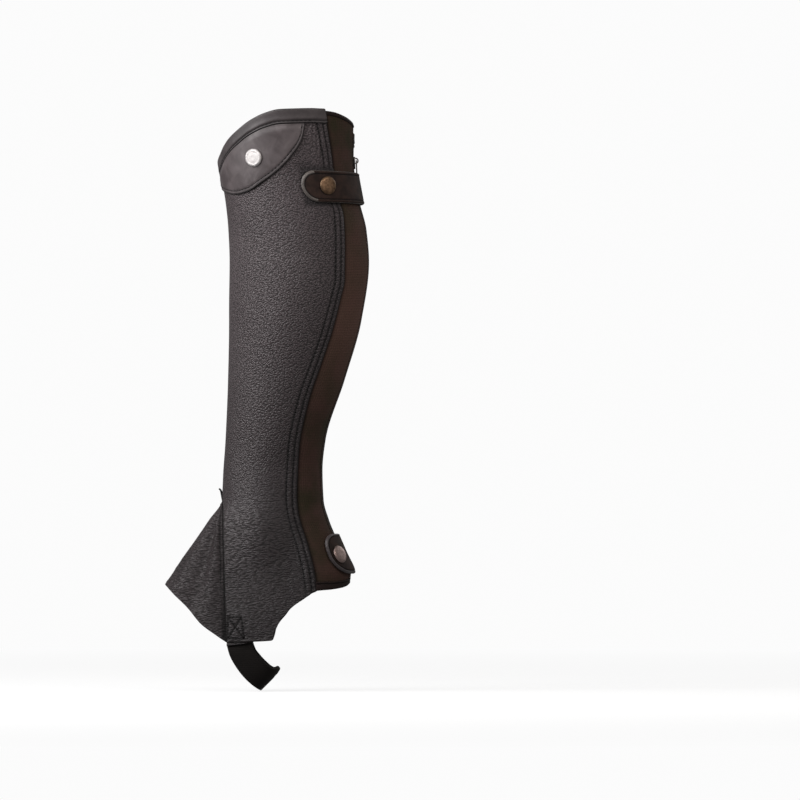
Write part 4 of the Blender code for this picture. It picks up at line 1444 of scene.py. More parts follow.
    def covered(self, angle: Array, height: Array) -> Array:
        """Where something lies on the leather, from 0 to 1.

        Args:
            angle: angles in degrees.
            height: heights in metres.

        Returns:
            How far each place is covered.
        """
        form = self.form
        patch_low = form.patch_edge(angle)
        on_patch = ramp(height, patch_low - 1.5 * MM, patch_low + 0.5 * MM)
        on_patch = on_patch * ramp(angle, -34, -32) * ramp(angle, 108.5, 107)
        at_strap = ramp(height, 0.0455, 0.0475) * ramp(height, 0.0760, 0.0740)
        at_strap = at_strap * ramp(angle, 100, 101.5)
        at_band = ramp(height, form.band_edge(angle) - 1.2 * MM, form.band_edge(angle))
        return np.maximum(np.maximum(on_patch, at_strap), at_band)

    def build(self) -> None:
        """Make the leather."""
        form = self.form
        apex, bottom = GUSSET_SEAM[0].height, GUSSET_SEAM[-1].height

        def start(height: Array) -> Array:
            """The edge beside the gusset, and the shin's middle above it."""
            seam = form.gusset_seam(height)
            return np.where(height < apex - 1e-7, seam + HALF_GAP / form.speed(seam, height), 0.0)

        def end(height: Array) -> Array:
            """The edge beside the elastic panel."""
            return form.beside_seam(height, -1)

        span = float(form.band_edge(0.0)) - HALF_GAP - bottom
        apex_share = (apex - bottom) / span
        rows = round(span / self.row)
        box_share = (StrapBox.TOP + 3 * MM - bottom) / span
        apex_rows = round((apex_share - box_share) * rows)
        up = spaced((0.002, 1), (box_share, 28), (apex_share, apex_rows),
                    (0.998, round(rows * (1 - apex_share))), (1.0, 1))
        # A column of points stands at the corner where the lower edge drops, on either side
        first = float(start(np.float64(bottom)))
        corner, inner_corner = (
            (form.drop_angle - first) / (float(edge(np.float64(low))) - first)
            for edge, low in ((end, -0.2657), (form.beside_zip, -0.2585))
        )
        across = spaced((0.01, 3), (0.46 * corner, 24), (corner, 12), (corner + 0.05, 5),
                        (0.86, 22), (0.99, 18), (1.0, 2))
        inner_across = spaced((0.006, 2), (inner_corner, 18), (inner_corner + 0.04, 5), (0.96, 32),
                              (0.994, 6), (1.0, 1))
        grids = []
        ends = (end, across, Side.OUTER), (form.beside_zip, inner_across, Side.INNER)
        for stop, shares, side in ends:
            high = shifted(form.band_edge, -HALF_GAP)
            angle, height = form.panel(start, stop, form.lower, high, shares, up, side)
            relief = self.relief(angle, height)
            grids.append((angle, height, relief, 0.5 * relief - self.thickness))
        finishes = (Finishes.PEBBLED, Finishes.FLESH, Finishes.EDGE)
        pressed = [self.pressed(angle, height) for angle, height, _, _ in grids]
        lay_sheet(form, "main_leather", "main_panel", self.cut, grids, finishes, 0.6,
                  pressed=pressed, on_hide=True)

    def row_at(self, angle: Array, height: Array) -> Row:
        """A stitch row on the leather's face: its points and its outward directions."""
        return self.form.row(angle, height, self.relief(angle, height))

    def sew(self) -> None:
        """Sew the rows beside the elastic panel, broken by the top strap, and beside the zip."""
        form = self.form
        rows = []
        for distance in (self.first_stitches, self.second_stitches):
            for low, high in ((-0.2640, 0.0480), (0.0745, 0.1125)):
                height = np.linspace(low, high, 240)
                rows.append(self.row_at(form.beside(form.elastic_seam, height, distance), height))
        height = np.linspace(-0.2560, 0.0940, 200)
        angle = -form.back_angle(7 * MM + self.zip_stitches, height)
        rows.append(self.row_at(angle, height))
        Stitching(radius=0.42 * MM).sew("leather_stitching", rows)


@dataclass
class Gusset:
    """The instep gusset: a wedge of the same leather let in under the shin."""

    form: LegForm
    cut: Cut = Cut((0.115, 0.135), 0.0083)
    thickness: float = 2.0 * MM
    columns: int = 88
    rows: int = 96
    stitches: float = 2.9 * MM
    crease: SoftNoise = SoftNoise(47)

    # The tail's middle line, out and up from the apex, and its radius there, in millimetres
    TAIL = ((0.9, -9.0, 0.9), (0.4, -6.0, 0.95), (-0.1, -3.0, 0.95), (-0.5, -1.0, 0.95),
            (-0.9, 1.0, 0.9), (-1.4, 2.4, 0.8), (-2.2, 3.3, 0.7), (-3.0, 3.7, 0.45))

    def from_seam(self, share: Array, angle: Array, height: Array) -> Array:
        """The distance round the leg from the nearer seam."""
        away = np.maximum(1 - np.abs(share), 0.0) * self.form.gusset_seam(height)
        return away * self.form.speed(angle, height)

    def relief(self, share: Array, angle: Array, height: Array) -> Array:
        """The folds: a valley beside the seam, ridges either side of it and slanting creases.

        Args:
            share: from -1 at the inner seam to 1 at the outer one.
            angle: angles in degrees.
            height: heights in metres.

        Returns:
            The distances out of the leg, in metres.
        """
        form = self.form
        reach = form.gusset_x(height) - form.level(height)["front"]
        x = form.skin(angle, height)[..., 0]
        forward = (form.gusset_x(height) - x) / np.maximum(reach, 1 * MM)
        window = ramp(height, -0.190, -0.215) * ramp(height, -0.300, -0.270)
        folds = bell(forward, 0.22, 0.11) - 1.2 * bell(forward, 0.45, 0.13)
        folds += 0.6 * bell(forward, 0.76, 0.15)
        relief = 1.8 * MM * folds * window * ramp(forward, 1.0, 0.8)
        slant = height / (9 * MM) + forward * 3.2
        creases = 1 - np.abs(self.crease(forward * 2.0 + 5, slant))
        relief += 0.35 * MM * (creases**3 - 0.3) * ramp(height, -0.2, -0.24)
        away = self.from_seam(share, angle, height)
        relief = relief * ramp(away, 0.3 * MM, 3 * MM)
        relief += groove(away, 0.0, 0.8 * MM, 0.7 * MM)
        return relief + groove(away, self.stitches, 0.9 * MM, 0.45 * MM)

    def pressed(self, share: Array, angle: Array, height: Array) -> Array:
        """How dark the painted shade in the seam and its stitch groove is, from 0 to 1."""
        away = self.from_seam(share, angle, height)
        return np.maximum(bell(away, 0.0, 0.9 * MM), 0.9 * bell(away, self.stitches, 0.8 * MM))

    def place(self, share: Array, rise: Array) -> Tuple[Array, Array]:
        """Angles and heights in the wedge.

        Args:
            share: from -1 at the inner seam to 1 at the outer one.
            rise: from 0 at the lower edge to 1 at the apex.

        Returns:
            The angles and the heights.
        """
        form = self.form
        toe, apex, bottom = GUSSET_EDGE[0].height, GUSSET_SEAM[0].height, GUSSET_SEAM[-1].height
        edge = form.gusset_lower(np.abs(share) * float(form.gusset_seam(np.float64(bottom))))
        drop = (edge - toe) / (bottom - toe)
        ridge = toe + (apex - toe) * rise
        seam = bottom + (apex - bottom) * rise
        height = ridge + (seam - ridge) * drop
        turn = form.gusset_seam(seam)
        trim = np.minimum(HALF_GAP / form.speed(turn, seam), 0.3 * turn)
        return (turn - trim) * share, height

    def build(self) -> None:
        """Make the gusset, its stitching and the tail at its apex."""
        rise = spaced((0.006, 1), (0.98, self.rows - 3), (1.0, 2))
        turns = np.linspace(-1, 1, self.columns + 1)
        shares = np.sign(turns) * np.abs(turns) ** 0.92
        share, rise = np.meshgrid(shares, rise)
        angle, height = self.place(share, rise)
        relief = self.relief(share, angle, height)
        grids = [(angle, height, relief, 0.6 * relief - self.thickness)]
        # The instep's leather is a darker copy of the calf's, as painted shade.
        finishes = (Finishes.CREASED, Finishes.FLESH, Finishes.EDGE)
        pressed = [self.pressed(share, angle, height)]
        lay_sheet(self.form, "gusset_leather", "instep_gusset", self.cut, grids, finishes, 0.6,
                  pressed=pressed, on_hide=True)
        self.sew()
        self.tail()

    def sew(self) -> None:
        """Sew the rows beside both seams."""
        form = self.form
        rows = []
        height = np.linspace(-0.3040, -0.1950, 160)
        turn = form.gusset_seam(height)
        lean = form.stretch(form.gusset_seam, height)
        reach = turn - self.stitches * lean / form.speed(turn, height)
        for side in Side:
            angle = side.value * np.maximum(reach, 0.0)
            share = side.value * np.clip(reach / np.maximum(turn, 0.1), 0, 1)
            rows.append(form.row(angle, height, self.relief(share, angle, height)))
        Stitching().sew("gusset_stitching", rows)

    def tail(self) -> None:
        """Leave the bound end of the seam standing at the apex, as a short bent tail."""
        apex, sides = self.form.skin(0.0, GUSSET_SEAM[0].height - 1.0 * MM), 10
        middle = np.array([apex + np.array([x, 0.0, z]) * MM for x, z, _ in self.TAIL])
        along = np.gradient(middle, axis=0)
        along /= np.linalg.norm(along, axis=1, keepdims=True)
        across = np.array([0.0, 1.0, 0.0])
        out = np.cross(along, across)
        turn = np.arange(sides) * 2 * math.pi / sides
        size = np.array([radius for _, _, radius in self.TAIL])[:, None, None] * MM
        ring = out[:, None] * np.cos(turn)[None, :, None] + across * np.sin(turn)[None, :, None]
        points = (middle[:, None] + ring * size).reshape(-1, 3)
        faces = [face[::-1] for face in tube_faces(len(middle), sides)]
        new_piece("gusset_seam_tail", points, faces, [Finishes.THREAD])


@dataclass
class Patch:
    """The smooth leather patch over the upper shin, skived thin where the binding covers it."""

    form: LegForm
    cut: Cut = Cut((0.130, 0.052), 0.0035)
    base: float = 0.3 * MM
    thickness: float = 1.2 * MM
    skived: float = 0.5 * MM
    stitches: float = 2.4 * MM
    columns: int = 150
    swell: SoftNoise = SoftNoise(53)

    def low(self, angle: Array) -> Array:
        """The height of the patch's lower edge."""
        return np.minimum(self.form.patch_edge(angle), self.high(angle) - 0.9 * MM)

    def high(self, angle: Array) -> Array:
        """The height of the patch's upper edge, under the binding's edge."""
        return self.form.band_edge(angle) - 2 * SEAM_GAP

    def edge_line(self) -> Tuple[Array, Array]:
        """Evenly spaced places along the lower edge: angles and heights.

        Returns:
            The angles and the heights.
        """
        fine = np.linspace(PATCH_EDGE[0].angle, PATCH_EDGE[-1].angle, 900)
        line = self.form.skin(fine, self.low(fine))
        lengths = line_lengths(line)
        angle = np.interp(np.linspace(0, lengths[-1], self.columns + 1), lengths, fine)
        return angle, self.low(angle)

    def relief(self, angle: Array, height: Array, inset: Array) -> Array:
        """How far the patch's face stands out of the leg, given the distance from its edge.

        Args:
            angle: angles in degrees.
            height: heights in metres.
            inset: distances from the lower edge.

        Returns:
            The distances out of the leg, in metres.
        """
        to_band = self.high(angle) - height
        top = self.base + self.thickness * ramp(to_band, -2 * MM, 5 * MM)
        top = np.maximum(top, self.base + self.skived)
        swell = self.swell(angle / 21, height / (16 * MM))
        top += 0.30 * MM * swell * ramp(to_band, 0, 6 * MM)
        return top + groove(inset, self.stitches, 0.7 * MM, 0.35 * MM)

    def build(self) -> None:
        """Make the patch and its stitch row."""
        angle, low = self.edge_line()
        up = spaced((0.02, 1), (0.30, 12), (0.94, 18), (1.0, 3))
        angle, rise = np.meshgrid(angle, up)
        height = low + (self.high(angle) - low) * rise
        inset = self.inset(angle, height)
        grids = [(angle, height, self.relief(angle, height, inset), self.base)]
        finishes = (Finishes.SMOOTH, Finishes.FLESH, Finishes.EDGE)
        # Painted shade in the stitch groove and along the lower edge.
        lines = 0.75 * bell(inset, self.stitches, 0.6 * MM), bell(inset, 0.0, 0.8 * MM)
        lay_sheet(self.form, "shin_patch", "top_patch", self.cut, grids, finishes, 0.7,
                  pressed=[np.maximum(*lines)])
        self.sew()

    def inset(self, angle: Array, height: Array) -> Array:
        """The distance to the lower edge, by the edge's slope.

        Args:
            angle: angles in degrees.
            height: heights in metres.

        Returns:
            The distances in metres.
        """
        turn = 0.5
        rise = (self.low(angle + turn) - self.low(angle - turn)) / (2 * turn)
        slope = rise / self.form.speed(angle, height)
        return (height - self.low(angle)) / np.sqrt(1 + slope**2)

    def sew(self) -> None:
        """Sew the row along the lower edge."""
        form = self.form
        angle, low = self.edge_line()
        edge = form.skin(angle, low)
        along = np.gradient(edge, axis=0)
        along /= np.linalg.norm(along, axis=1, keepdims=True)
        normal = form.normal(angle, low)
        line = edge + np.cross(normal, along) * self.stitches
        inside = form.band_edge(angle) - line[:, 2] > 1.5 * MM
        lift = self.base + self.thickness - 0.32 * MM
        rows = [((line + normal * lift)[inside], normal[inside])]
        Stitching().sew("patch_stitching", rows)


@dataclass
class Band:
    """A strip folded over the tube's top or bottom edge."""

    form: LegForm
    out: float
    thickness: float
    finish: Finish

    def profile(
        self, width: float, details: Sequence[float], fold: int = 6
    ) -> Tuple[Array, Array, Array]:
        """The fold's section: distances from the open edge, outer and inner offsets.

        Args:
            width: the strip's width from its open edge to the top of the fold.
            details: extra distances from the open edge where the section has a row.
            fold: the number of rows round the fold.

        Returns:
            The distances, the outer offsets and the inner offsets.
        """
        half = self.thickness / 2
        middle = self.out - half
        flat = np.unique(np.concatenate([[0.0, 0.35 * MM], details, [width - half]]))
        turn = np.linspace(0, math.pi / 2, fold + 1)[1:] * 0.985
        distance = np.concatenate([flat, width - half + half * np.sin(turn)])
        bulge = np.concatenate([np.full(len(flat), half), half * np.cos(turn)])
        return distance, middle + bulge, middle - bulge


@dataclass
class TopBinding(Band):
    """The smooth leather strip folded over the leather's top edge."""

    cut: Cut = Cut((0.335, 0.0135), 0.0045, held="folded")
    stitches: float = 1.8 * MM
    bead_pitch: float = 3.6 * MM
    columns: Tuple[int, int] = (90, 100)
    swell: SoftNoise = SoftNoise(61)

    def relief(self, angle: Array, distance: Array) -> Array:
        """The stitch groove, the puffed ridge over it and soft swells.

        Args:
            angle: angles in degrees.
            distance: distances from the open edge.

        Returns:
            The distances out of the leg, in metres.
        """
        arc = angle * 0.96 * MM
        beads = np.sin(2 * math.pi * arc / self.bead_pitch)
        relief = groove(distance, self.stitches, 0.7 * MM, 0.42 * MM)
        relief = relief + (0.12 + 0.07 * beads) * MM * bell(distance, 0.5 * MM, 0.7 * MM)
        relief = relief + (0.22 + 0.05 * beads) * MM * bell(distance, 3.6 * MM, 1.4 * MM)
        return relief + 0.22 * MM * self.swell(angle / 17, distance / (9 * MM))

    def build(self) -> None:
        """Make the binding and sew it on both faces."""
        form = self.form
        details = np.array([0.8, 1.2, 1.5, 1.8, 2.1, 2.5, 3.0, 3.7, 4.6, 5.8, 7.2, 8.6]) * MM
        distance, outer, inner = self.profile(TOP_BAND - HALF_GAP, details)

        def shin(height: Array) -> Array:
            """The shin's middle, where the two sides meet."""
            return np.zeros(np.shape(height))

        def end(height: Array) -> Array:
            """The end beside the elastic panel."""
            return form.elastic_seam(height) - HALF_GAP / form.speed(90.0, height)

        low, up = shifted(form.band_edge, HALF_GAP), distance / distance[-1]
        # Painted shade in the stitch groove and a painted shadow along the open lower edge.
        lines = 0.8 * bell(distance, self.stitches, 0.6 * MM), bell(distance, 0.0, 0.5 * MM)
        dark = np.maximum(*lines)[:, None]
        grids, pressed = [], []
        for side, stop, columns in zip(Side, (end, form.beside_zip), self.columns):
            across = spaced((0.996, columns), (1.0, 1))
            if side is Side.OUTER:
                across = spaced((0.004, 1), (0.996, columns), (1.0, 1))
            angle, height = form.panel(shin, stop, low, form.rim, across, up, side)
            relief = self.relief(angle, distance[:, None])
            grids.append((angle, height, outer[:, None] + relief, inner[:, None] - 0.6 * relief))
            pressed.append(np.broadcast_to(dark, angle.shape))
        finishes = (self.finish, self.finish, Finishes.EDGE)
        lay_sheet(form, "leather_top_binding", "top_binding", self.cut, grids, finishes, 0.35,
                  pressed=pressed)
        self.sew()

    def sew(self) -> None:
        """Sew the row that goes through both faces."""
        form = self.form
        angle = np.linspace(-172, 113, 600)
        height = form.band_edge(angle) + self.stitches
        out = self.out + self.relief(angle, np.full(angle.shape, self.stitches))
        back, normals = form.row(angle, height, self.out - self.thickness + 0.3 * MM)
        rows = [form.row(angle, height, out), (back, -normals)]
        Stitching().sew("top_binding_stitching", rows)


@dataclass
class ElasticPanel:
    """The ribbed elastic between the leather and the zip, with the tapes that bind its ends."""

    form: LegForm
    cut: Cut = Cut((0.068, 0.385), 0.0150, ("main_leather", "zip_tape_outer_web"))
    out: float = -0.5 * MM
    thickness: float = 1.5 * MM
    rib: float = 2.4 * MM
    rib_height: float = 0.13 * MM
    zip_stitches: float = 3.0 * MM
    columns: int = 84
    rows: int = 150
    sway: SoftNoise = SoftNoise(71)

    def distances(self, angle: Array, height: Array) -> Tuple[Array, Array]:
        """How far places are from the zip's tape and from the leather.

        Args:
            angle: angles in degrees.
            height: heights in metres.

        Returns:
            Both distances in metres.
        """
        form = self.form
        from_zip = (180 - angle) * form.speed(angle, height) - form.zip_sewn(height)
        return from_zip, -form.distance(form.elastic_seam, angle, height)

    def relief(self, angle: Array, height: Array) -> Array:
        """The ribs, the fold beside the zip and the soft give of the cloth.

        Args:
            angle: angles in degrees.
            height: heights in metres.

        Returns:
            The distances out of the leg, in metres.
        """
        from_zip, from_leather = self.distances(angle, height)
        ribs = np.cos(2 * math.pi * from_zip / self.rib)
        relief = self.rib_height * ribs * ramp(from_zip, 2 * MM, 5 * MM)
        relief += groove(from_zip, self.zip_stitches, 0.6 * MM, 0.3 * MM)
        relief += 0.25 * MM * bell(from_zip, 1.0 * MM, 1.2 * MM)
        relief -= 0.35 * MM * ramp(from_leather, 3 * MM, 0.0)
        return relief + 0.30 * MM * self.sway(angle / 15, height / (24 * MM))

    def build(self) -> None:
        """Make the panel and sew it."""
        form = self.form
        across = spaced((0.01, 1), (0.99, self.columns), (1.0, 1))
        up = spaced((0.003, 1), (0.997, self.rows), (1.0, 1))
        low, high = shifted(form.hem, HALF_GAP), shifted(form.rim, -ELASTIC_TOP_BAND - HALF_GAP)
        angle, height = form.panel(form.beside_seam, form.beside_zip, low, high, across, up)
        relief = self.relief(angle, height)
        grids = [(angle, height, self.out + relief, self.out - self.thickness + 0.5 * relief)]
        from_zip, from_leather = self.distances(angle, height)
        # Painted shade in the stitch groove by the zip, and a painted shadow where the leather's
        # edge lies over the elastic.
        at_zip = 0.7 * bell(from_zip, self.zip_stitches, 0.7 * MM)
        at_leather = 0.8 * bell(from_leather, 0, 2 * MM)
        lay_sheet(form, "elastic_web", "elastic_panel", self.cut, grids, (Finishes.ELASTIC,) * 3,
                  pressed=[np.maximum(at_zip, at_leather)])
        self.sew()

    def sew(self) -> None:
        """Sew the row beside the zip, broken by the tabs."""
        form = self.form
        rows = []
        for low, high in ((-0.2170, 0.0440), (0.0730, 0.1020)):
            height = np.linspace(low, high, 200)
            angle = form.back_angle(form.zip_sewn(height) + self.zip_stitches, height)
            rows.append(form.row(angle, height, self.out + self.relief(angle, height)))
        Stitching().sew("elastic_stitching", rows)


@dataclass
class ElasticTopBinding(Band):
    """The narrow tape folded over the elastic panel's top edge."""

    cut: Cut = Cut((0.047, 0.0105), 0.00028, ("elastic_web",), "folded")
    corner: float = 5.0 * MM
    corner_drop: float = 1.2 * MM

    def high(self, angle: Array) -> Array:
        """The top of the fold, lower at the corner beside the zip, which is rounded off.

        Args:
            angle: angles in degrees.

        Returns:
            The heights in metres.
        """
        level = self.form.rim(angle) - ELASTIC_TOP_DROP
        from_zip = (self.form.beside_zip(level) - angle) * self.form.speed(angle, level)
        return level - self.corner_drop * ramp(from_zip, self.corner, 0.0) ** 2

    def build(self) -> None:
        """Make the tape."""
        form = self.form
        width = ELASTIC_TOP_BAND - ELASTIC_TOP_DROP
        distance, outer, inner = self.profile(width, np.array([0.7, 1.0, 1.3, 1.6]) * MM)
        low = shifted(form.rim, HALF_GAP - ELASTIC_TOP_BAND)
        across = spaced((0.01, 1), (0.85, 30), (0.99, 14), (1.0, 1))
        up = distance / distance[-1]
        angle, height = form.panel(form.beside_seam, form.beside_zip, low, self.high, across, up)
        ridge = 0.18 * MM * bell(distance, 0.9 * MM, 0.6 * MM)
        grids = [(angle, height, (outer + ridge)[:, None], inner[:, None])]
        finishes = (self.finish,) * 3
        lay_sheet(form, "elastic_top_tape", "elastic_binding", self.cut, grids, finishes)


@dataclass
class HeelBinding(Band):
    """The tape folded over the elastic panel's lower edge at the heel."""

    cut: Cut = Cut((0.047, 0.0150), 0.00035, ("elastic_web",), "folded")
    swell: SoftNoise = SoftNoise(83)

    def build(self) -> None:
        """Make the tape, folded at the bottom."""
        form = self.form
        half = self.thickness / 2
        turn = np.linspace(math.pi / 2, 0, 7)[:-1] * 0.985
        share = np.concatenate([(1 - np.sin(turn)) * 0.24, np.linspace(0.24, 1, 14)])
        bulge = np.concatenate([np.cos(turn), np.ones(14)]) * half
        across = spaced((0.01, 1), (0.99, 44), (1.0, 1))
        high, seam = shifted(form.hem, -HALF_GAP), form.beside_seam
        angle, height = form.panel(seam, form.beside_zip, form.lower, high, across, share)
        relief = groove(share, 0.78, 0.09, 0.35 * MM) + 0.2 * MM * bell(share, 0.93, 0.07)
        relief = relief[:, None] + 0.25 * MM * self.swell(angle / 12, height / (6 * MM))
        relief = relief * ramp(share, 0.1, 0.4)[:, None]
        middle, bulge = self.out - half, bulge[:, None]
        grids = [(angle, height, middle + bulge + relief, middle - bulge)]
        # Painted shade in the stitch groove.
        pressed = [np.broadcast_to(0.8 * bell(share, 0.78, 0.08)[:, None], angle.shape)]
        lay_sheet(form, "heel_tape", "heel_binding", self.cut, grids, (self.finish,) * 3, 0.4,
                  pressed=pressed)


@dataclass
class ZipTapes:
    """The zip: two woven tapes and their moulded teeth, parted above the slider."""

    form: LegForm
    out: float = -0.6 * MM
    thickness: float = 1.2 * MM
    cut: Cut = Cut((0.0155, 0.375), 0.00266)
    rows: int = 170
    tooth_pitch: float = 1.7 * MM
    tooth: Triple = (3.1 * MM, 1.0 * MM, 1.9 * MM)

    # A tooth's outline as shares of its length and width, and its levels with their sizes
    TOOTH = ((0, -0.5), (0.55, -0.5), (0.72, -0.32), (0.86, -0.62), (1, -0.40),
             (1, 0.40), (0.86, 0.62), (0.72, 0.32), (0.55, 0.5), (0, 0.5))
    LEVELS = ((-0.45, 0.9), (-0.30, 1.0), (0.30, 1.0), (0.45, 0.88))

    def sewn(self, height: Array) -> Array:
        """The edge of a tape that goes under the panel beside it."""
        return self.form.back_angle(self.form.zip_sewn(height) - HALF_GAP, height)

    def free(self, height: Array) -> Array:
        """The edge of a tape that holds the teeth."""
        return self.form.back_angle(self.form.zip_free(height), height)

    def build(self) -> None:
        """Make both tapes and the teeth."""
        form = self.form
        across, up = np.linspace(0, 1, 11), np.linspace(0, 1, self.rows + 1)
        for side in Side:
            place = form.panel(self.sewn, self.free, form.lower, form.band_edge, across, up, side)
            tape = f"zip_tape_{side.name.lower()}"
            grids = [(*place, self.out, self.out - self.thickness)]
            lay_sheet(form, f"{tape}_web", tape, self.cut, grids, (Finishes.TAPE,) * 3)
        self.teeth()

    def teeth(self) -> None:
        """Make the teeth: blunt wedges that mesh below the slider and part above it."""
        form = self.form
        length, width, depth = self.tooth
        points, faces = [], []
        one = tube_faces(len(self.LEVELS), len(self.TOOTH))
        for side in Side:
            shift = 0.0 if side is Side.OUTER else self.tooth_pitch / 2
            for height in np.arange(-0.2500, 0.1000, self.tooth_pitch) + shift:
                gap = float(form.zip_free(height))
                reach = 1.4 * MM if gap < 0.5 * MM else 1.2 * MM
                base = Vector(form.point(180.0, height, self.out - self.thickness / 2))
                normal = Vector(form.normal(180.0, height))
                across = Vector((0.0, -1.0, 0.0)) * side.value
                up = normal.cross(Vector((0.0, 1.0, 0.0)))
                faces += [[i + len(points) for i in face[:: side.value]] for face in one]
                for level, size in self.LEVELS:
                    for along, wide in self.TOOTH:
                        offset = gap + length - reach - along * length
                        point = base + across * offset + up * wide * width * size
                        points.append(list(point + normal * level * depth))
        new_piece("zip_teeth", points, faces, [Finishes.TEETH], sharp=35)


@dataclass
class Tab:
    """A tab that lies on the tube from its rounded tip to its sewn end, with a turned rim."""

    form: LegForm
    name: str
    node: str
    tip: float
    end: float
    tip_height: float
    end_height: float
    half_height: float
    tip_radius: float
    tip_out: float
    end_out: float
    cut: Cut
    squareness: float = 2.0
    rim: float = 2.0 * MM
    rim_reach: float = 1.0
    thickness: float = 2.4 * MM
    rim_finish: Finish = Finishes.TAB_RIM
    body_finish: Finish = Finishes.TAB

    def outline(self) -> Tuple[Array, Array]:
        """The outline and the middle line, as distances from the tip and heights off the middle.

        Returns:
            The points of the outline and the nearest points of the middle line.
        """
        radius = float(self.form.level(self.tip_height)["half_width"])
        length = math.radians(self.end - self.tip) * radius
        turn = np.linspace(-math.pi / 2, math.pi / 2, 41)
        cos, sin = np.cos(turn), np.sin(turn)
        power = 2 / self.squareness
        arc_s = self.tip_radius * (1 - np.abs(cos) ** power)
        arc_v = self.half_height * np.sign(sin) * np.abs(sin) ** power
        straight = np.linspace(length, self.tip_radius, 34)[:-1]
        half = np.full(straight.shape, self.half_height)
        s = np.concatenate([straight, arc_s, straight[::-1]])
        v = np.concatenate([-half, arc_v, half])
        return np.stack([s, v], axis=1), np.stack([np.maximum(s, self.tip_radius), 0 * v], axis=1)

    def places(self, flat: Array) -> Tuple[Array, Array, Array]:
        """Angles, heights and base offsets of points given as distances and heights.

        Args:
            flat: the points, along a last axis of two.

        Returns:
            The angles, the heights and the offsets.
        """
        radius = float(self.form.level(self.tip_height)["half_width"])
        angle = self.tip + np.degrees(flat[..., 0] / radius)
        along = (angle - self.tip) / (self.end - self.tip)
        height = self.tip_height + (self.end_height - self.tip_height) * along + flat[..., 1]
        return angle, height, self.tip_out + (self.end_out - self.tip_out) * along

    def build(self) -> None:
        """Make the tab and sew it."""
        edge, middle = self.outline()
        depths = [self.half_height / MM, 9.0, 6.0, 4.2, 3.2, 2.7, 2.35, 2.1, 1.85, 1.4, 0.9, 0.45]
        depths = np.array([*depths, 0.15, 0])
        shares = np.minimum(depths * MM / self.half_height, 1.0)
        flat = edge[None] + (middle - edge)[None] * shares[:, None, None]
        angle, height, base = self.places(flat)
        inset = (depths * MM)[:, None]
        top = self.thickness * (0.62 + 0.38 * np.sqrt(np.clip(inset / (0.9 * MM), 0, 1)))
        top = top + groove(inset, self.rim + 0.3 * MM, 0.45 * MM, 0.45 * MM)
        top = top - 0.15 * MM * ramp(inset, 2.0 * MM, 3.0 * MM)
        # The rim finish covers the rim within rim_reach of the tip; on the top tab it is a painted
        # highlight.
        at_rim = depths[:-1] <= self.rim / MM + 0.2
        at_tip = edge[:-1, 0] < self.rim_reach
        marks = np.where(at_rim[:, None] & at_tip[None, :], 2, 0).reshape(-1)
        finishes = (self.body_finish, self.body_finish, self.rim_finish)
        # Painted shade in the stitch groove inside the rim.
        line = 0.85 * bell(inset, self.rim + 0.3 * MM, 0.5 * MM)
        pressed = [np.broadcast_to(line, angle.shape)]
        grids = [(angle, height, base + top, base)]
        lay_sheet(self.form, self.name, self.node, self.cut, grids, finishes, 0.5, marks, pressed)
        self.sew()

    def sew(self) -> None:
        """Sew the row inside the rim, and the cross row at the sewn end."""
        edge, middle = self.outline()
        inset = (self.rim + 0.3 * MM) / self.half_height
        reach = np.linspace(-1, 1, 40) * (self.half_height - self.rim)
        end = np.stack([np.full(40, edge[0, 0] - 3 * MM), reach], axis=1)
        rows = []
        for flat, sunk in ((edge + (middle - edge) * inset, 0.5 * MM), (end, 0.25 * MM)):
            angle, height, base = self.places(flat)
            rows.append(self.form.row(angle, height, base + self.thickness - sunk))
        Stitching(pitch=3.0 * MM, radius=0.28 * MM).sew(f"{self.name}_stitching", rows)


@dataclass
class SnapCap:
    """A snap's turned cap, on a place of the leg."""

    form: LegForm
    name: str
    node: str
    angle: float
    height: float
    out: float
    finish: Finish
    profile: Sequence[Pair]
    radius: float = 7.5 * MM
    rise: float = 1.7 * MM
    steps: int = 72

    DOME = ((0.0, 0.97), (0.15, 0.968), (0.30, 0.955), (0.45, 0.93), (0.60, 0.88), (0.72, 0.82),
            (0.82, 0.73), (0.90, 0.58), (0.955, 0.40), (0.985, 0.20), (0.99, 0.08), (0.97, 0.0))
    RINGED = ((0.0, 0.90), (0.22, 0.90), (0.27, 0.92), (0.32, 0.90), (0.58, 0.90), (0.64, 0.86),
              (0.70, 0.92), (0.80, 0.91),
              (0.88, 0.78), (0.94, 0.55), (0.975, 0.30), (0.99, 0.10), (0.97, 0.0))

    def build(self) -> None:
        """Turn the cap."""
        steps, rings = self.steps, len(self.profile) - 1
        turns = np.arange(steps) * 2 * math.pi / steps
        points = [(0.0, 0.0, self.profile[0][1] * self.rise)]
        for share, rise in self.profile[1:]:
            radius, up = share * self.radius, rise * self.rise
            points += [(math.cos(turn) * radius, math.sin(turn) * radius, up) for turn in turns]
        faces = [[0, 1 + i, 1 + (i + 1) % steps] for i in range(steps)]
        faces += (grid_quads(rings, steps, wrap=True)[:, ::-1] + 1).tolist()
        faces.append(list(range(1 + (rings - 1) * steps, 1 + rings * steps))[::-1])
        place = frame_at(self.form, self.angle, self.height, self.out)
        points = [list(place @ Vector(point)) for point in points]
        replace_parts(new_piece(self.name, points, faces, [self.finish], sharp=60), self.node)


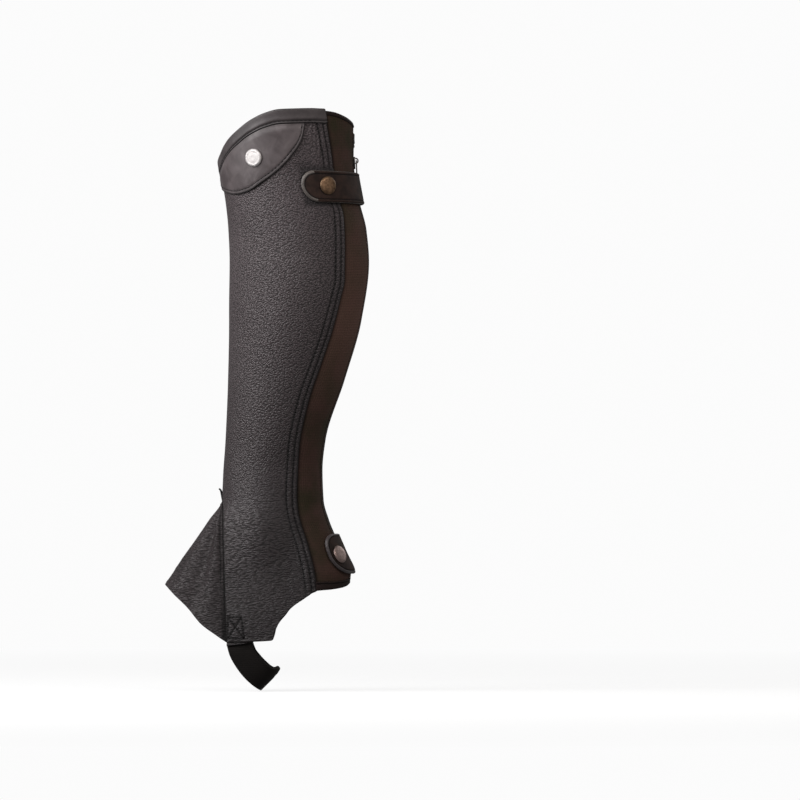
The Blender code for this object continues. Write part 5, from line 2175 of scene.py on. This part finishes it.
def frame_at(form: LegForm, angle: float, height: float, out: float) -> Matrix:
    """A matrix with its X along the leg's side, Y up the surface and Z out of it.

    Args:
        form: the leg.
        angle: an angle in degrees.
        height: a height in metres.
        out: the distance out of the leather's outer face.

    Returns:
        The matrix.
    """
    normal = Vector(form.normal(angle, height))
    rise = 4 * MM
    up = Vector(form.skin(angle, height + rise) - form.skin(angle, height - rise)).normalized()
    side = up.cross(normal).normalized()
    turn = Matrix((side, up, normal)).transposed().to_4x4()
    return Matrix.Translation(Vector(form.point(angle, height, out))) @ turn


@dataclass
class ZipSlider:
    """The slider and its pull, cast, with rounded edges."""

    form: LegForm
    height: float = 0.0802
    plate_out: float = -0.3 * MM
    plate: float = 1.2 * MM
    inner_out: float = -3.6 * MM
    inner_plate: float = 1.0 * MM
    pin_up: float = 1.7 * MM
    pin_out: float = 0.95 * MM
    bevel: float = 0.28 * MM
    sharp: float = 40.0

    # The plates' outline in millimetres: shoulders at the top, narrow at the bottom
    SHIELD = ((-2.3, -5.0), (2.3, -5.0), (3.3, -4.2), (3.6, -2.0), (4.4, 1.2), (4.5, 3.2),
              (3.9, 4.6), (2.6, 5.0), (1.2, 4.3), (0.0, 4.0), (-1.2, 4.3), (-2.6, 5.0),
              (-3.9, 4.6), (-4.5, 3.2), (-4.4, 1.2), (-3.6, -2.0), (-3.3, -4.2))
    # The post that joins the plates, and the pull's tongue with its two arms
    POST = ((-1.0, 2.15), (1.0, 2.15), (1.0, 3.85), (-1.0, 3.85))
    TONGUE = ((-2.5, -9.9), (2.5, -9.9), (2.5, -4.3), (2.5, 0.5), (1.4, 0.5), (1.4, -4.3),
              (-1.4, -4.3), (-1.4, 0.5), (-2.5, 0.5), (-2.5, -4.3))

    def slab(self, outline: Sequence[Pair], low: float, high: float) -> bmesh.types.BMesh:
        """A slab with an outline in millimetres between two levels.

        Args:
            outline: its points.
            low: the lower level in metres.
            high: the upper level in metres.

        Returns:
            The slab.
        """
        form = bmesh.new()
        ring = [form.verts.new((x * MM, y * MM, low)) for x, y in outline]
        face = form.faces.new(ring)
        grown = bmesh.ops.extrude_face_region(form, geom=[face])
        up = [v for v in grown["geom"] if isinstance(v, bmesh.types.BMVert)]
        bmesh.ops.translate(form, verts=up, vec=(0, 0, high - low))
        bmesh.ops.recalc_face_normals(form, faces=form.faces)
        return form

    def upright(self, outline: Sequence[Pair], half: float, up: float = 0.0) -> bmesh.types.BMesh:
        """A slab across the zip, whose outline is what the side shows.

        Args:
            outline: its points in millimetres.
            half: half its thickness in metres.
            up: how far it is raised, in metres.

        Returns:
            The slab.
        """
        form = self.slab(outline, -half, half)
        turn = Matrix(((0, 0, 1, 0), (1, 0, 0, 0), (0, 1, 0, up), (0, 0, 0, 1)))
        bmesh.ops.transform(form, matrix=turn, verts=form.verts)
        return form

    def cast(
        self, name: str, node: str, slabs: Sequence[bmesh.types.BMesh], place: Matrix, body: str
    ) -> None:
        """Bevel some slabs and join them into one piece in place of its solid.

        Args:
            name: the piece's name.
            node: the solid that it replaces.
            slabs: its slabs.
            place: where they go.
            body: the body that the piece rides on.
        """
        mesh = bpy.data.meshes.new(name)
        whole = bmesh.new()
        for slab in slabs:
            edges = [e for e in slab.edges if e.calc_face_angle(0) > math.radians(self.sharp)]
            bmesh.ops.bevel(slab, geom=edges, offset=self.bevel, segments=3, profile=0.5,
                            affect="EDGES", clamp_overlap=True)
            slab.to_mesh(mesh)
            slab.free()
            whole.from_mesh(mesh)
        bmesh.ops.transform(whole, matrix=place, verts=whole.verts)
        whole.to_mesh(mesh)
        whole.free()
        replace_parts(place_piece(mesh, [Finishes.SLIDER], self.sharp, body), node)

    def build(self) -> None:
        """Make the slider and the pull."""
        place = frame_at(self.form, 180.0, self.height, 0.0)
        top = self.plate_out + self.plate
        slabs = [
            self.slab(self.SHIELD, self.plate_out, top),
            self.slab(self.SHIELD, self.inner_out, self.inner_out + self.inner_plate),
            self.slab(self.POST, self.inner_out + 0.3 * MM, top - 0.3 * MM),
            self.arch(top),
        ]
        self.cast("slider_body", "zip_slider", slabs, place, BODY)
        pivot = place @ Matrix.Translation((0.0, self.pin_up, top + self.pin_out))
        half = 0.55 * MM
        turns = [math.pi * i / 8 for i in range(16)]
        pin = [(0.5 * math.cos(turn), 0.5 * math.sin(turn)) for turn in turns]
        slabs = [self.slab(self.TONGUE, -half, half), self.upright(pin, 1.6 * MM)]
        self.cast("pull_tongue", "zip_pull", slabs, pivot, PULL_BODY)

    def arch(self, top: float) -> bmesh.types.BMesh:
        """The loop over the slider that holds the pull's pin.

        Args:
            top: the level of the slider's outer face.

        Returns:
            The loop.
        """
        outer, inner = [], []
        for i in range(17):
            turn = math.pi * i / 16
            c, s = math.cos(turn), math.sin(turn)
            outer.append((1.7 - 2.6 * c, max(3.0 * abs(s) ** 0.8, -0.2)))
            inner.append((1.7 - 1.5 * c, 1.95 * abs(s) ** 0.9))
        return self.upright(outer + inner[::-1], 1.0 * MM, top - 0.15 * MM)


@dataclass
class FootStrap:
    """The elastic strap under the boot, sewn inside both sides of the hem."""

    form: LegForm
    leather: MainLeather
    cut: Cut = Cut((0.0195, 0.175), 0.0034, held="hung")
    facing_cut: Cut = Cut((0.0215, 0.0115), 0.00021)
    width: float = 19.5 * MM
    thickness: float = 1.6 * MM
    out: float = -3.1 * MM
    sewn_x: float = -0.0484
    curl: Triple = (0.6 * MM, 0.0, 3.6 * MM)
    facing_top: float = -0.2990
    facing_out: float = -2.1 * MM
    FACING_X = (-0.0580, -0.0374)
    FACING_LOW = (-0.3105, -0.3072)
    SEWN = (-0.2890, -0.2980, -0.3062)
    DROP = (
        (-0.0460, -0.0350, -0.3150, 8),
        (-0.0415, -0.0346, -0.3227, 22),
        (-0.0345, -0.0335, -0.3310, 38),
        (-0.0278, -0.0300, -0.3366, 44),
        (-0.0246, -0.0230, -0.3387, 45),
        (-0.0240, -0.0120, -0.3392, 45),
        (-0.0240, 0.0000, -0.3393, 45),
    )

    def stations(self) -> Tuple[Array, Array]:
        """The middle line and the direction across it, from the outer hem to the inner one.

        Returns:
            The points of the line and the directions.
        """
        middles, acrosses = [], []
        for height in self.SEWN:
            rails = []
            for reach in (-0.5, 0.0, 0.5):
                x = self.sewn_x + reach * self.width
                angle = self.form.angle_at(np.float64(x), height)
                rails.append(self.form.point(angle, height, self.out))
            middles.append(rails[1])
            acrosses.append((rails[2] - rails[0]) / self.width)
        for x, y, height, lean in self.DROP:
            turn = math.radians(lean)
            middles.append(np.array([x, y, height]))
            acrosses.append(np.array([math.cos(turn), 0.0, math.sin(turn)]))
        flip = np.array([1.0, -1.0, 1.0])
        middles += [point * flip for point in middles[-2::-1]]
        acrosses += [across * flip for across in acrosses[-2::-1]]
        return np.array(middles), np.array(acrosses)

    def build(self) -> None:
        """Make the strap, its facings and its crossed stitching."""
        stations = self.stations()
        lengths = line_lengths(stations[0])
        fine = np.linspace(0, lengths[-1], 131)
        middle, across = (
            np.stack([Curve(lengths, column)(fine) for column in line.T], axis=1)
            for line in stations
        )
        across /= np.linalg.norm(across, axis=1, keepdims=True)
        share = np.array([-1, -0.985, -0.93, -0.86, -0.78, -0.5, -0.2, 0, 0.2, 0.35, 0.5, 0.6, 0.7,
                          0.78, 0.86, 0.93, 0.985, 1]) * 0.5
        rails = middle[:, None] + across[:, None] * share[None, :, None] * self.width
        under = ramp(np.abs(middle[:, 1]), 0.0325, 0.0230)[:, None]
        bend = ramp(share, 0.16, 0.60)[None, :] ** 1.2 * under
        rails = rails + bend[..., None] * np.array(self.curl)
        normal = np.cross(np.gradient(rails, axis=1), np.gradient(rails, axis=0))
        normal /= np.linalg.norm(normal, axis=-1, keepdims=True)
        half = self.thickness / 2
        edge = bell(np.abs(share), 0.465, 0.03) - bell(np.abs(share), 0.41, 0.02)
        edge = 0.14 * MM * edge[None, :] * (1 - under)
        edge = edge + 0.65 * MM * ramp(share, 0.28, 0.40)[None, :] * under
        lift = normal * (half + edge[..., None])
        finishes = (Finishes.WEBBING,) * 3
        piece = closed_sheet("under_boot_strap", [rails + lift], [rails - lift], finishes, 0.8)
        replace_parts(piece, "foot_strap")
        self.cut.declare(piece)
        self.face()
        self.sew()

    def face(self) -> None:
        """Lay a leather facing between the hem and the strap on both sides."""
        x = np.linspace(*self.FACING_X, 16)
        low = np.interp(x, self.FACING_X, self.FACING_LOW)
        height = low + (self.facing_top - low) * np.linspace(0, 1, 8)[:, None]
        angle = self.form.angle_at(x[None, :], np.full(height.shape, -0.3070))
        for side in Side:
            turn, rise = side.value * angle[:, :: side.value], height[:, :: side.value]
            out = self.facing_out + 1.7 * MM * ramp(rise, -0.3062, -0.3082)
            grids = [(turn, rise, out, out - 0.7 * MM)]
            finishes = (Finishes.PEBBLED, Finishes.FLESH, Finishes.EDGE)
            name = f"strap_facing_{side.name.lower()}"
            lay_sheet(self.form, name, None, self.facing_cut, grids, finishes, on_hide=True)

    def sew(self) -> None:
        """Sew a box with a cross through the leather on both sides."""
        rows = []
        for (x0, z0), (x1, z1) in StrapBox.lines():
            x, height = np.linspace(x0, x1, 30), np.linspace(z0, z1, 30)
            for side in Side:
                angle = side.value * self.form.angle_at(x, height)
                rows.append(self.leather.row_at(angle, height))
        Stitching(pitch=3.0 * MM, radius=0.48 * MM).sew("strap_stitching", rows)


@dataclass
class Studio:
    """The camera at the photograph's angle, the pale floor and the soft lights."""

    target: Triple = (0.0818, 0.0, -0.1118)
    away: float = 10.8
    focal_length: float = 600.0
    sensor: float = 36.0
    floor_height: float = -0.3475
    floor_size: float = 40.0
    sky_radius: float = 13.0
    sky_height: float = 40.0

    def build(self) -> None:
        """Set everything up."""
        bpy.context.scene.view_settings.view_transform = "Standard"
        self.camera()
        self.floor()
        self.backdrop()
        self.world()
        self.light("key", (-1.25, -0.85, 0.75), 1.2, 28.0)
        self.light("edge", (-1.5, -0.30, 0.35), 0.8, 9.0)
        self.light("front", (-0.25, -0.85, 0.6), 0.5, 3.0)
        self.light("fill", (0.6, -0.7, 0.5), 0.5, 3.2, "#FFF6F0")
        self.light("rim", (3.6, 3.4, 2.2), 2.4, 40.0)

    def camera(self) -> None:
        """Put a long lens at the photograph's angle, level with the middle of the frame."""
        lens = bpy.data.cameras.new("camera")
        lens.lens = self.focal_length
        lens.sensor_width = self.sensor
        lens.clip_end = 100.0
        x, y, z = self.target
        camera = put("camera", lens, (x, y - self.away, z))
        camera.rotation_euler = (math.pi / 2, 0, 0)
        bpy.context.scene.camera = camera

    def paper(self, name: str, colour: str, glow: float) -> bpy.types.Material:
        """Matt paper that glows a little, so it stays near white.

        Args:
            name: the material's name.
            colour: its colour.
            glow: the strength of its own light.

        Returns:
            The material.
        """
        paper = bpy.data.materials.new(name)
        paper.use_nodes = True
        values = {
            "Base Color": linear(colour),
            "Roughness": 0.95,
            "Specular IOR Level": 0.0,
            "Emission Color": linear("#FFFFFF"),
            "Emission Strength": glow,
        }
        for socket, value in values.items():
            paper.node_tree.nodes["Principled BSDF"].inputs[socket].default_value = value
        return paper

    def stage(
        self, name: str, points: Sequence[Triple], faces: Sequence[Tuple[int, ...]],
        paper: bpy.types.Material,
    ) -> Piece:
        """Put up a part of the stage, which the lights and the part don't see.

        Args:
            name: its name.
            points: its points.
            faces: the point numbers of each face.
            paper: its material.

        Returns:
            The part of the stage.
        """
        mesh = bpy.data.meshes.new(name)
        mesh.from_pydata(points, [], faces)
        mesh.materials.append(paper)
        stage = put(name, mesh)
        stage.visible_diffuse = False
        stage.visible_glossy = False
        return stage

    def floor(self) -> None:
        """Lay the floor, whose paper takes shadows near the part and only glows far from it."""
        half, z = self.floor_size / 2, self.floor_height
        corners = [(-half, -half), (half, -half), (half, half), (-half, half)]
        points = [(x, y, z) for x, y in corners]
        paper = self.paper("paper_floor", "#909090", 0.8)
        tree = paper.node_tree
        shader = tree.nodes["Principled BSDF"]
        place = add_node(tree, "TexCoord", out="Object")
        level = add_node(tree, "VectorMath", {0: place, 1: (1, 1, 0)}, operation="MULTIPLY")
        away = add_node(tree, "VectorMath", {0: level}, "Value", operation="LENGTH")
        far = add_node(tree, "MapRange", {0: away, 1: 0.35, 2: 1.8})
        inputs = {"Factor": far, 6: linear("#7A7A7A"), 7: linear("#000000")}
        colour = add_node(tree, "Mix", inputs, 2, data_type="RGBA")
        glow = add_node(tree, "MapRange", {0: far, 3: 0.80, 4: 0.97})
        tree.links.new(colour, shader.inputs["Base Color"])
        tree.links.new(glow, shader.inputs["Emission Strength"])
        self.stage("studio_floor", points, [(0, 1, 2, 3)], paper)

    def backdrop(self) -> None:
        """Hang a white backdrop all round, well behind every camera."""
        steps = 96
        ring = [2 * math.pi * i / steps for i in range(steps)]
        points = []
        for z in (self.floor_height - 0.05, self.sky_height):
            reach = self.sky_radius
            points += [(reach * math.cos(a), reach * math.sin(a), z) for a in ring]
        faces = [(i, i + steps, (i + 1) % steps + steps, (i + 1) % steps) for i in range(steps)]
        sky = self.stage("studio_backdrop", points, faces, self.paper("paper_sky", "#000000", 0.97))
        sky.visible_shadow = False

    def world(self) -> None:
        """Light the room dimly from all round."""
        world = bpy.data.worlds.new("studio")
        world.use_nodes = True
        background = world.node_tree.nodes["Background"]
        background.inputs["Color"].default_value = (1.0, 1.0, 1.0, 1.0)
        background.inputs["Strength"].default_value = 0.26
        bpy.context.scene.world = world

    def light(
        self, name: str, place: Triple, size: float, power: float, colour: str = "#FFFFFF"
    ) -> None:
        """Hang a soft light that faces the part.

        Args:
            name: its name.
            place: where it hangs.
            size: its width in metres.
            power: its power in watts.
            colour: its colour.
        """
        lamp = bpy.data.lights.new(name, "AREA")
        lamp.energy = power
        lamp.size = size
        lamp.color = linear(colour)[:3]
        aim = Vector((-0.02, 0.0, -0.1)) - Vector(place)
        put(name, lamp, place).rotation_euler = aim.to_track_quat("-Z", "Y").to_euler()


def main() -> None:
    """Build the half chap, piece by piece, and the studio round it."""
    logging.basicConfig(level=logging.INFO, format="%(message)s")
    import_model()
    Studio().build()
    form = LegForm()
    leather = MainLeather(form)
    leather.build()
    leather.sew()
    Gusset(form).build()
    Patch(form).build()
    TopBinding(form, 0.7 * MM, 3.1 * MM, Finishes.ROLLED).build()
    ElasticPanel(form).build()
    ElasticTopBinding(form, 0.2 * MM, 2.4 * MM, Finishes.BINDING).build()
    HeelBinding(form, 0.5 * MM, 2.8 * MM, Finishes.BINDING).build()
    ZipTapes(form).build()
    Tab(form, "top_tab", "top_strap", 100.8, 212.0, 0.0608, 0.0579, 12.5 * MM, 12.5 * MM, 0.3 * MM,
        1.2 * MM, Cut((0.107, 0.025), 0.0026, ("elastic_web",)), rim_reach=11 * MM).build()
    Tab(form, "heel_flap", "heel_tab", 138.0, 210.0, -0.2360, -0.2370, 15.5 * MM, 15.5 * MM,
        0.4 * MM, 1.1 * MM, Cut((0.047, 0.031), 0.00135, ("elastic_web",)), squareness=2.6,
        rim=1.5 * MM, rim_finish=Finishes.ROLLED).build()
    SnapCap(form, "badge_cap", "badge_snap", 63.4, 0.0836, 1.8 * MM, Finishes.NICKEL,
            SnapCap.RINGED).build()
    SnapCap(form, "top_cap", "top_snap", 123.0, 0.0610, 3.2 * MM, Finishes.BRONZE,
            SnapCap.DOME).build()
    SnapCap(form, "heel_cap", "heel_snap", 151.8, -0.2376, 3.4 * MM, Finishes.GUNMETAL,
            SnapCap.DOME).build()
    ZipSlider(form).build()
    FootStrap(form, leather).build()


if __name__ == "__main__":
    main()
